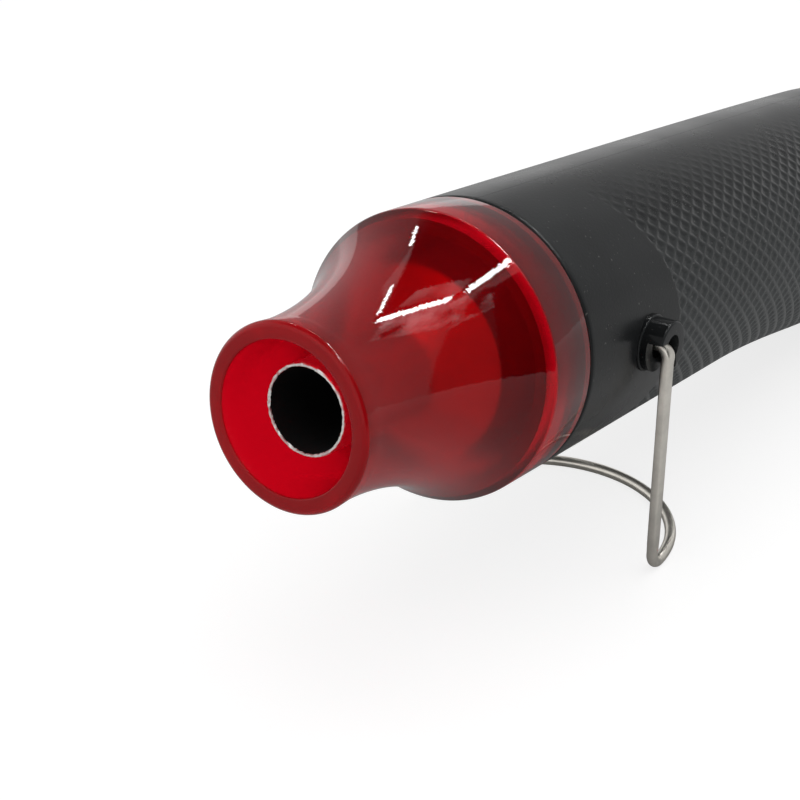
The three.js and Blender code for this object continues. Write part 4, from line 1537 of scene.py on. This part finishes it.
@dataclass
class Switch:
    """The rocker switch, set square to the top of the handle."""

    shop: Workshop
    outline: CasingOutline
    room: float = 17.5
    rise: float = 0.39
    seat_margin: float = 3.2
    seat_corner: float = 2.8
    seat_soft: float = 0.35
    seat_depth: float = 8.0
    hole_room: float = 0.6
    hole_ends: tuple[float, float] = (-30.0, 15.0)
    slip: float = 0.3
    length: float = 19.4
    width: float = 12.8
    depth: float = 12.0
    rim: float = 1.3
    rim_corner: float = 2.6
    rim_soft: float = 0.45
    height: float = 1.8
    wall: float = 1.3
    rocker_length: float = 14.4
    rocker_width: float = 9.8
    window_gap: float = 0.75
    rocker_soft: float = 0.4
    travel: float = 16.0
    axle: float = -1.2
    proud: float = 0.7
    dip: float = 0.9
    rise_at_ends: float = 0.88
    dish_power: float = 1.6
    foot: float = 3.2
    lip: float = 0.5
    mark_place: float = 4.2
    mark_height: float = 0.07

    @property
    def back(self) -> float:
        """How far behind the seam the switch stands."""
        return self.outline.rear - self.room

    @property
    def matrix(self) -> Matrix:
        """The switch's place in the barrel's frame, in millimetres.

        Returns:
            The matrix, in millimetres.
        """
        bend = self.outline.rear - self.outline.top_bend
        slope = math.atan(2 * self.outline.top_drop * (self.back - self.outline.top_bend) / bend ** 2)
        seat = Vector((-self.back, 0, float(self.outline.top(np.array(self.back))) + self.rise))
        return pose(seat, -slope, "Y")

    def placed(self, form: Form) -> Form:
        """A form moved from the switch's own place to the barrel's frame."""
        return form.moved(self.matrix)

    def seat(self) -> Form:
        """The raised seat that the casing has under the switch."""
        outline = rounded_box(self.length + self.seat_margin, self.width + self.seat_margin, self.seat_corner)
        return self.placed(prism(outline, -self.seat_depth, 0.0, self.seat_soft))

    def hole(self) -> Form:
        """What is cut out of the seat and the casing under the switch."""
        room = self.hole_room
        return self.placed(prism(rounded_box(self.length + room, self.width + room, room), *self.hole_ends))

    def body(self) -> None:
        """Makes the switch's frame, with a soft rim and an open well."""
        rim = prism(rounded_box(self.length + 2 * self.rim, self.width + 2 * self.rim, self.rim_corner),
                    self.slip, self.slip + self.height, self.rim_soft)
        body = prism(rounded_box(self.length, self.width, 0.5), -self.depth, self.slip + 0.5)
        well = prism(rounded_box(self.rocker_length + 2 * self.window_gap,
                                 self.rocker_width + 2 * self.window_gap, self.rocker_soft),
                     -self.depth + self.wall, self.depth)
        piece = make_piece("switch_frame", self.placed(rim), self.shop.frame)
        steps = ((body, Carve.JOIN), (well, Carve.CUT))
        carve(piece, [(self.shop.tool(self.placed(form)), how) for form, how in steps])
        self.shop.finish(piece, Look.SWITCH, Body.CASING, "switch_black", "switch_body")

    @property
    def crest(self) -> float:
        """The height of the rocker's ends above its axle."""
        return self.slip + self.height - self.axle + self.proud

    @property
    def dish_reach(self) -> float:
        """How far from its middle the rocker's dish reaches."""
        return self.rocker_length / 2 - 0.6

    def dished(self, x: float) -> float:
        """The height of the rocker's dished top, so far from its middle."""
        return self.crest - self.dip + self.rise_at_ends * (abs(x) / self.dish_reach) ** self.dish_power

    def rocker_form(self) -> Form:
        """The rocker: a wedge with a dished top, soft edges and flat cheeks.

        Returns:
            The form.
        """
        half, high, lip = self.rocker_length / 2, self.crest, self.lip
        low = high - self.dip
        outline = [(-half + 0.8, -self.foot), (half - 0.8, -self.foot), (half, low)]
        outline += arc(half - lip - 0.05, high - lip, lip, 0, 78, 5)
        outline += [(x, self.dished(x)) for x in np.linspace(half - 1.2, -half + 1.2, 19)]
        outline += arc(-half + lip + 0.05, high - lip, lip, 102, 180, 5)
        outline += [(-half, low)]
        cheeks = prism(outline, -self.rocker_width / 2, self.rocker_width / 2, self.rocker_soft)
        return cheeks.moved(Matrix.Rotation(QUARTER, 4, "X"))

    def marks(self) -> list[Form]:
        """The line and the ring on the rocker, as thin raised shapes.

        Returns:
            The line and the ring.
        """
        place, rise, power = self.mark_place, self.rise_at_ends, self.dish_power
        reach, level = self.dish_reach, self.dished(place)
        lean = math.atan(rise * power / reach * (place / reach) ** (power - 1))
        sunk, top, bore, rim = -0.2, self.mark_height, 0.95, 1.45
        line = prism(rounded_box(0.5, 2.6, 0.2), sunk, top)
        ring = turned([(sunk, bore), (sunk, rim), (top, rim), (top, bore)], 40)
        flat = ring.moved(Matrix.Rotation(-QUARTER, 4, "Y"))
        return [line.moved(pose((place, 0, level), -lean, "Y")), flat.moved(pose((-place, 0, level), lean, "Y"))]

    def rocker(self) -> None:
        """Makes the rocker, with its ring end pressed, and its marks."""
        tilt = pose((0, 0, self.axle), -math.radians(self.travel / 2), "Y")
        piece = make_piece("rocker_red", self.placed(self.rocker_form().moved(tilt)), self.shop.frame, 40)
        self.shop.finish(piece, Look.ROCKER, Body.ROCKER, "switch_red", "switch_rocker")
        for name, form in zip(("rocker_line", "rocker_ring"), self.marks()):
            mark = make_piece(name, self.placed(form.moved(tilt)), self.shop.frame)
            self.shop.finish(mark, Look.MARK, Body.ROCKER, "switch_red")

    def build(self) -> None:
        """Makes the switch."""
        self.body()
        self.rocker()


@dataclass
class Tail:
    """The rear cap with its air slots, and the bush that the cord would pass through."""

    shop: Workshop
    outline: CasingOutline
    slip: float = 0.3
    depth: float = 9.0
    wall: float = 2.2
    face_share: float = 0.7
    edge_soft: float = 0.3
    spigot: float = 5.0
    slot_land: float = 1.2
    slot_width: float = 1.8
    slot_pitch: float = 3.3
    slot_height: float = 13.0
    bore: float = 3.7
    bush: float = 5.3
    flange: float = 1.5
    flange_thickness: float = 1.6
    flange_soft: float = 0.8
    steps: int = 160

    @property
    def front(self) -> float:
        """How far behind the seam the cap starts."""
        return self.outline.rear + self.slip

    @property
    def middle(self) -> float:
        """The height of the cap's middle."""
        rear = np.array(self.outline.rear)
        return float(self.outline.top(rear) + self.outline.heel(rear)) / 2

    def dish(self, inset: float, start: float, end: float, soft: float = 0.0) -> Form:
        """The cap's rounded form, from one depth to another.

        Args:
            inset: How far it is drawn in.
            start: Where it starts behind the cap's front.
            end: Where it ends behind the cap's front.
            soft: The rounding of its front edge.

        Returns:
            The form.
        """
        turns = np.linspace(0, QUARTER, 22)
        share = self.face_share + (1 - self.face_share) * np.cos(turns)
        x = -self.front - start - (end - start) * np.sin(turns)
        drawn = np.full(len(turns), float(inset))
        if soft:
            x = np.concatenate([[x[0], x[0] - 0.1], x[1:]])
            share = np.concatenate([[share[0], share[0]], share[1:]])
            drawn = np.concatenate([[inset + soft, inset + 0.05], drawn[1:]])
        rear = np.full(len(x), self.outline.rear)
        return lofted(self.outline.rings(rear, self.steps, drawn, x, share))

    def collar(self, inset: float, ahead: float, behind: float) -> Form:
        """A straight length of the casing's last section."""
        x = np.array([-self.front + ahead, -self.front - behind])
        return lofted(self.outline.rings(np.full(2, self.outline.rear), self.steps, inset, x))

    def cap(self) -> None:
        """Makes the cap."""
        piece = make_piece("tail_cap", self.dish(0, 0, self.depth, self.edge_soft), self.shop.frame)
        tools = [
            (self.collar(self.wall + self.slip, self.spigot, 1.0), Carve.JOIN),
            (self.dish(self.wall, self.wall, self.depth - self.wall), Carve.CUT),
            (self.collar(2 * self.wall + self.slip, self.spigot + 1, self.wall + 1), Carve.CUT),
        ]
        room = self.bush + self.slip
        hole = turned([(0.0, 0.0), (0.0, room), (PAST, room), (PAST, 0.0)], 64, closed=False)
        tools.append((hole.moved(Matrix.Translation((-self.front - PAST + 2, 0, self.middle))), Carve.CUT))
        for k in range(2):
            for side in (1, -1):
                out = self.bush + self.flange + self.slot_land + self.slot_width / 2 + k * self.slot_pitch
                slot = prism(rounded_box(self.slot_height - 2 * k, self.slot_width, self.slot_width / 2 - 0.01),
                             -self.depth / 2, self.depth)
                place = (-self.front - self.depth, side * out, self.middle)
                tools.append((slot.moved(pose(place, -QUARTER, "Y")), Carve.CUT))
        made = [(self.shop.tool(form), how) for form, how in tools]
        carve(piece, [*made, (self.shop.table(), Carve.CUT)])
        self.shop.finish(piece, Look.CAP, Body.CASING, "casing", "rear_cap")

    def inlet(self) -> None:
        """Makes the bush, gripping the cap's wall between two rounded flanges."""
        outer = -self.depth - self.slip
        rear = outer - self.flange_thickness
        inner = self.wall - self.depth + self.slip
        front = inner + self.flange_thickness
        wide = self.bush + self.flange
        soft = self.flange_soft
        points = [(rear + 0.3, self.bore), (rear, self.bore + 0.35), (rear, wide - soft - 0.2)]
        points += arc(rear + soft, wide - soft, soft, 180, 90, 6)
        points += [(outer, wide), (outer, self.bush), (inner, self.bush), (inner, wide)]
        points += [(front, wide), (front, self.bore)]
        form = turned(points, 96).moved(Matrix.Translation((-self.front, 0, self.middle)))
        piece = make_piece("inlet_bush", form, self.shop.frame)
        self.shop.finish(piece, Look.RUBBER, Body.CASING, "rubber_bush", "cord_inlet_bush")

    def build(self) -> None:
        """Makes the cap and its bush."""
        self.cap()
        self.inlet()


@dataclass
class Screws:
    """The five casing screws, put in from the right."""

    shop: Workshop
    places: Sequence[tuple[float, float]]
    reach: float = 9.0
    shank: float = 1.3
    head: float = 2.6
    seat: float = 7.3
    thickness: float = 1.9
    cross_length: float = 2.6
    cross_width: float = 0.62
    cross_depth: float = 1.1
    cross_turn: float = 0.35
    thread: float = 0.8

    def form(self) -> Form:
        """A screw: a point, a threaded shank and a pan head.

        Returns:
            The form.
        """
        points = [(-self.reach, 0.0), (-self.reach + 1.2, self.shank * 0.8)]
        for x in np.arange(-self.reach + 1.5, self.seat - 1.2, self.thread):
            points += [(x, self.shank * 0.82), (x + self.thread / 2, self.shank)]
        points += [(self.seat - 0.2, self.shank * 0.9), (self.seat, self.shank * 0.9), (self.seat, self.head)]
        points += [(self.seat + self.thickness * math.sin(a), self.head * (0.42 + 0.58 * math.cos(a)))
                   for a in np.linspace(0.25, QUARTER, 8)]
        points += [(self.seat + self.thickness, 0.0)]
        return turned(points, 40, closed=False)

    def build(self) -> None:
        """Makes the screws, each with a cross in its head."""
        end = self.seat + self.thickness
        sizes = (self.cross_length, self.cross_width)
        bars = [prism(rounded_box(a, b, 0.1), end - self.cross_depth, end + 1) for a, b in (sizes, sizes[::-1])]
        for k, (x, z) in enumerate(self.places, 1):
            spin = pose((x, 0, z), -QUARTER, "Z")
            piece = make_piece(f"screw_{k}", self.form().moved(spin), self.shop.frame)
            turn = spin @ Matrix.Rotation(self.cross_turn * k, 4, "X") @ Matrix.Rotation(QUARTER, 4, "Y")
            carve(piece, [(self.shop.tool(bar.moved(turn)), Carve.CUT) for bar in bars])
            self.shop.finish(piece, Look.SCREW, Body.CASING, "screw_steel", f"case_screw_{k}")


@dataclass
class Insides:
    """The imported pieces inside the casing, which keep their shapes."""

    shop: Workshop
    looks: dict[Look, tuple[str, ...]] = field(default_factory=lambda: {
        Look.FRONT_RING: ("front_ring",), Look.MICA: ("mica_sleeve", "mica_former"),
        Look.HEATING: ("heater_coil",), Look.CERAMIC: ("heater_disc",),
        Look.PLATED: ("thermal_fuse", "motor_shaft", "motor_can"),
        Look.BAKELITE: ("air_guide", "motor_end_cap", "motor_mount"), Look.FAN: ("fan",),
        Look.COPPER: ("motor_armature",), Look.MAGNET: ("motor_magnet",), Look.BOARD: ("power_board",),
        Look.COMPONENT: ("capacitor", *(f"diode_{k}" for k in range(1, 5))),
        Look.LEAD: tuple(f"{end}_lead_{k}" for end in ("motor", "switch") for k in (1, 2)),
        Look.BRASS: ("switch_tab_1", "switch_tab_2"),
    })

    def build(self) -> None:
        """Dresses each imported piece."""
        for look, names in self.looks.items():
            for name in names:
                self.shop.dresser.dress(self.shop.nodes[name], look)
                log.info("%s: dressed as %s", name, look.value.name)


# The studio -------------------------------------------------------------------------------------------


@dataclass
class Studio:
    """The camera at the photograph's place, a white floor and soft light."""

    frame: BarrelFrame
    eye: tuple[float, float, float] = (201.44, 122.61, 82.70)
    right: tuple[float, float, float] = (-0.57166, 0.81801, 0.06371)
    down: tuple[float, float, float] = (0.26809, 0.25960, -0.92776)
    ahead: tuple[float, float, float] = (-0.77546, -0.51328, -0.36770)
    lens: float = 72.0
    sensor: float = 36.0
    world_level: float = 0.5
    floor_glow: float = 0.77
    floor_half: float = 12.0
    floor_gap: float = 0.0002
    # The floor's greys: lit, seen from the camera, and seen in a gloss, where the darkest grey is painted shade.
    floor_greys_with_painted_shade: tuple[float, float, float] = (0.72, 0.33, 0.26)
    # The middle of the painted shadow that polished faces show in the floor, under the nose.
    painted_shadow_centre: tuple[float, float, float] = (0.035, 0.0, 0.0)
    card_height: float = 0.8
    side_distance: float = 0.7

    def camera(self) -> None:
        """Sets the camera at the photograph's viewpoint."""
        data = bpy.data.cameras.new("camera")
        data.lens, data.sensor_width, data.sensor_fit = self.lens, self.sensor, "HORIZONTAL"
        data.clip_start, data.clip_end = 0.01, 20.0
        camera = new_object("camera", data)
        axes = Matrix((self.right, [-v for v in self.down], [-v for v in self.ahead])).transposed()
        place = Matrix.Translation(Vector(self.eye) * MM) @ axes.to_4x4()
        camera.matrix_world = self.frame.matrix @ place
        bpy.context.scene.camera = camera

    def backdrop_share(self, sheet: NodeSheet, gloss: Any = 1.0) -> bpy.types.NodeSocket:
        """1 for the rays that see the background: from the camera, through a clear piece or off a gloss.

        Args:
            sheet: The nodes to work in.
            gloss: The share that a gloss shows.

        Returns:
            The share.
        """
        path = sheet.add("LightPath").outputs
        clear = sheet.math("MAXIMUM", path["Is Camera Ray"], path["Is Transmission Ray"])
        return sheet.math("MAXIMUM", clear, sheet.math("MULTIPLY", path["Is Glossy Ray"], gloss))

    def world(self) -> None:
        """A pale world that is white where it is seen."""
        world = bpy.data.worlds.new("studio")
        bpy.context.scene.world = world
        sheet = cleared(world)
        strength = sheet.span(self.backdrop_share(sheet), 0.0, 1.0, self.world_level, 1.0)
        light = sheet.add("Background", None, Color=WHITE, Strength=strength)
        sheet.add("OutputWorld", None, Surface=light.outputs[0])

    def floor(self) -> None:
        """A wide white floor with a soft shadow, and clear from below; in a gloss it has painted shade that makes
        it greyer near the tool and darkest under the nose.
        """
        material = bpy.data.materials.new("floor_white")
        sheet = cleared(material)
        place = sheet.place()
        far = sheet.add("VectorMath", {"operation": "LENGTH"}, i0=place).outputs["Value"]
        seen = self.backdrop_share(sheet)
        beside = sheet.add("VectorMath", {"operation": "SUBTRACT"}, i0=place, i1=self.painted_shadow_centre).outputs[0]
        under = sheet.add("VectorMath", {"operation": "LENGTH"}, i0=beside).outputs["Value"]
        # Painted shadow: in a gloss the floor's glow is cut down under the nose and, more gently, near the tool.
        shaded = sheet.span(under, 0.02, 0.055, 0.2, 1.0)
        glow_share_with_painted_shade = self.backdrop_share(sheet, sheet.math("MULTIPLY", sheet.span(far, 0.15, 1.2, 0.38, 1.0), shaded))
        pale, dim, dark = [(v, v, v, 1.0) for v in self.floor_greys_with_painted_shade]
        away = sheet.span(far, 0.3, 2.4, 0.0, 1.0)
        # In a gloss the floor takes the darkest grey, which is painted shade.
        near = sheet.mix(sheet.add("LightPath").outputs["Is Glossy Ray"], sheet.mix(seen, pale, dim), dark)
        lit = sheet.mix(sheet.math("MULTIPLY", seen, away), near, BLACK)
        matt = sheet.add("BsdfDiffuse", None, Color=lit)
        strength = sheet.math("MULTIPLY", glow_share_with_painted_shade, sheet.span(away, 0.0, 1.0, self.floor_glow, 1.0))
        glow = sheet.add("Emission", None, Color=WHITE, Strength=strength)
        both = sheet.add("AddShader", None, i0=matt.outputs[0], i1=glow.outputs[0])
        below = sheet.add("NewGeometry").outputs["Backfacing"]
        face = sheet.add("MixShader", None, i0=below, i1=both.outputs[0],
                         i2=sheet.add("BsdfTransparent").outputs[0])
        sheet.add("OutputMaterial", None, Surface=face.outputs[0])
        half = self.floor_half
        corners = [(-half, -half, 0), (half, -half, 0), (half, half, 0), (-half, half, 0)]
        self.sheet_of("floor", corners, material).location.z = -self.floor_gap

    def sheet_of(self, name: str, corners: Sequence[Sequence[float]], material: bpy.types.Material
                 ) -> bpy.types.Object:
        """A flat piece of the studio between its corners, in metres.

        Args:
            name: Its name.
            corners: Its corners.
            material: Its material.

        Returns:
            The piece.
        """
        mesh = bpy.data.meshes.new(name)
        mesh.from_pydata([tuple(corner) for corner in corners], [], [tuple(range(len(corners)))])
        mesh.materials.append(material)
        piece = new_object(name, mesh)
        piece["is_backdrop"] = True
        return piece

    def card(self, name: str, corners: Sequence[Sequence[float]], level: float, mottle: float = 0.0,
             fade: tuple[float, float] | None = None) -> None:
        """A card that shows in polished faces alone.

        Args:
            name: Its name.
            corners: Its corners, in metres.
            level: How bright it is, where 1 is white.
            mottle: The share of it that soft blotches take away.
            fade: Where it fades to white across the room, from and to, in metres.
        """
        material = bpy.data.materials.new(name)
        sheet = cleared(material)
        place = sheet.place()
        strength = sheet.span(sheet.noise(place, 5.0, 2.5, 0.6), 0.36, 0.66, level * (1 - mottle), level)
        if fade:
            y = sheet.add("SeparateXYZ", None, Vector=place).outputs[1]
            strength = sheet.span(y, *fade, strength, 1.0)
        glow = sheet.add("Emission", None, Color=WHITE, Strength=strength)
        sheet.add("OutputMaterial", None, Surface=glow.outputs[0])
        card = self.sheet_of(name, corners, material)
        card.visible_camera = card.visible_diffuse = card.visible_transmission = False
        card.visible_shadow = card.visible_volume_scatter = False

    @property
    def nose(self) -> Vector:
        """The place in the cover that the cards stand round."""
        return self.frame.point(18.0, 0.0, 0.0)

    def overhead(self, x: float, y: float, height: float) -> tuple[float, float, float]:
        """A place overhead, by its slopes from the nozzle."""
        return (self.nose.x + x * height, self.nose.y + y * height, self.nose.z + height)

    def strip(self, name: str, start: tuple[float, float], end: tuple[float, float], width: float,
              level: float) -> None:
        """A narrow lit strip at the edge of the ceiling, seen in polished faces.

        Args:
            name: Its name.
            start: Where it starts, by its slopes from the nozzle.
            end: Where it ends.
            width: How wide it is, by the same measure.
            level: How bright it is, where 1 is white.
        """
        along = np.array(end) - np.array(start)
        side = np.array([-along[1], along[0]]) / np.linalg.norm(along) * width / 2
        ends = [np.array(start) + side, np.array(start) - side, np.array(end) - side, np.array(end) + side]
        self.card(name, [self.overhead(x, y, self.card_height - 0.02) for x, y in ends], level)

    def wall_card(self, name: str, start: tuple[float, float], end: tuple[float, float], low: float,
                  high: float, level: float) -> None:
        """An upright card between two places round the nozzle, in metres.

        Args:
            name: Its name.
            start: Where it starts, from the nozzle.
            end: Where it ends, from the nozzle.
            low: The height of its lower edge above the floor.
            high: The height of its upper edge above the floor.
            level: How bright it is, where 1 is white.
        """
        (x0, y0), (x1, y1) = [(self.nose.x + x, self.nose.y + y) for x, y in (start, end)]
        self.card(name, [(x0, y0, low), (x1, y1, low), (x1, y1, high), (x0, y0, high)], level)

    def surroundings(self) -> None:
        """The room that the polished faces show: a dark ceiling edged by lit strips, and a dark side."""
        ceiling = [(-0.20, -0.84), (-0.93, -0.02), (-0.33, 0.44), (0.60, 0.32), (0.60, -1.9), (-0.20, -1.9)]
        self.card("dark_ceiling", [self.overhead(x, y, self.card_height) for x, y in ceiling], 0.03,
                  fade=(-0.45, -1.45))
        for name, start, end, width, level in (
            ("strip_rear", (-0.90, 0.0), (-0.36, 0.42), 0.065, 45.0),
            ("strip_side", (-0.24, 0.455), (0.16, 0.41), 0.075, 45.0),
            ("strip_edge", (-0.86, -0.10), (-0.68, -0.38), 0.03, 40.0),
            ("strip_right", (-0.44, -0.645), (-0.31, -0.755), 0.05, 40.0),
        ):
            self.strip(name, start, end, width, level)
        window = [(-0.065, 0.53), (-0.30, 0.49), (-0.42, 0.43), (-0.86, 0.08), (-1.10, 0.30), (-0.60, 0.90),
                  (-0.12, 0.96)]
        self.card("window", [self.overhead(x, y, self.card_height) for x, y in window], 3.4, 0.97)
        haze = [(-0.70, 0.02), (-0.50, 0.00), (-0.16, 0.34), (-0.32, 0.42)]
        self.card("haze", [self.overhead(x, y, self.card_height - 0.04) for x, y in haze], 1.8, 0.75)
        far = self.side_distance
        for name, start, end, low, high, level in (
            ("dark_side", (0.55, far), (-0.09, far), 0.0, 1.2, 0.02),
            ("dim_side", (-0.09, far), (-0.42, far), 0.0, 0.78, 0.16),
            ("dark_low", (-0.42, far), (-0.95, far), 0.0, 0.2, 0.08),
            ("grey_left", (-0.42, far), (-1.3, 0.3), 0.0, 1.7, 0.5),
            ("grey_rear", (-1.3, 0.3), (-1.3, -0.9), 0.25, 1.7, 0.45),
            ("grey_right", (-1.3, -0.9), (-0.15, -1.2), 0.25, 1.7, 0.45),
        ):
            self.wall_card(name, start, end, low, high, level)

    def lamp(self, name: str, place: Sequence[float], target: Sequence[float], size: Sequence[float],
             power: float) -> None:
        """Adds a soft lamp that polished faces don't show.

        Args:
            name: Its name.
            place: Where it stands, in metres.
            target: What it points at.
            size: Its width and height in metres.
            power: Its power in watts.
        """
        data = bpy.data.lights.new(name, "AREA")
        data.shape, data.size, data.size_y, data.energy = "RECTANGLE", size[0], size[1], power
        lamp = new_object(name, data)
        lamp.location = place
        lamp.rotation_euler = (Vector(target) - Vector(place)).to_track_quat("-Z", "Y").to_euler()
        lamp.visible_glossy = False

    def lights(self) -> None:
        """A large lamp overhead and a smaller one in front."""
        middle = (0.03, 0.0, 0.04)
        self.lamp("overhead", (0.05, 0.15, 0.9), middle, (0.9, 0.9), 3.2)
        self.lamp("front", (0.75, -0.15, 0.45), middle, (0.4, 0.5), 1.2)

    def build(self) -> None:
        """Sets the studio up."""
        scene = bpy.context.scene
        scene.view_settings.view_transform = "Standard"
        self.camera()
        self.world()
        self.floor()
        self.surroundings()
        self.lights()


def main() -> None:
    """Builds the sub-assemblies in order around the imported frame."""
    logging.basicConfig(level=logging.INFO, format="%(name)s: %(message)s")
    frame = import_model()
    packed_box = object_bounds()
    barrel = BarrelFrame.from_joints(frame["joints"])
    shop = Workshop(barrel, Dresser(), frame["nodes"])
    casing = Casing(shop)
    switch = Switch(shop, casing.outline)
    casing.build(switch)
    NozzleCover(shop).build()
    OutletTube(shop).build()
    WireStand(shop, barrel.point(*PIVOT)).build()
    switch.build()
    Tail(shop, casing.outline).build()
    Screws(shop, casing.screws()).build()
    Insides(shop).build()
    Studio(barrel).build()
    boxes = {"packed": packed_box, "dressed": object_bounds()}
    {name: [[float(v) for v in corner] for corner in box] for name, box in boxes.items()}


if __name__ == "__main__":
    main()
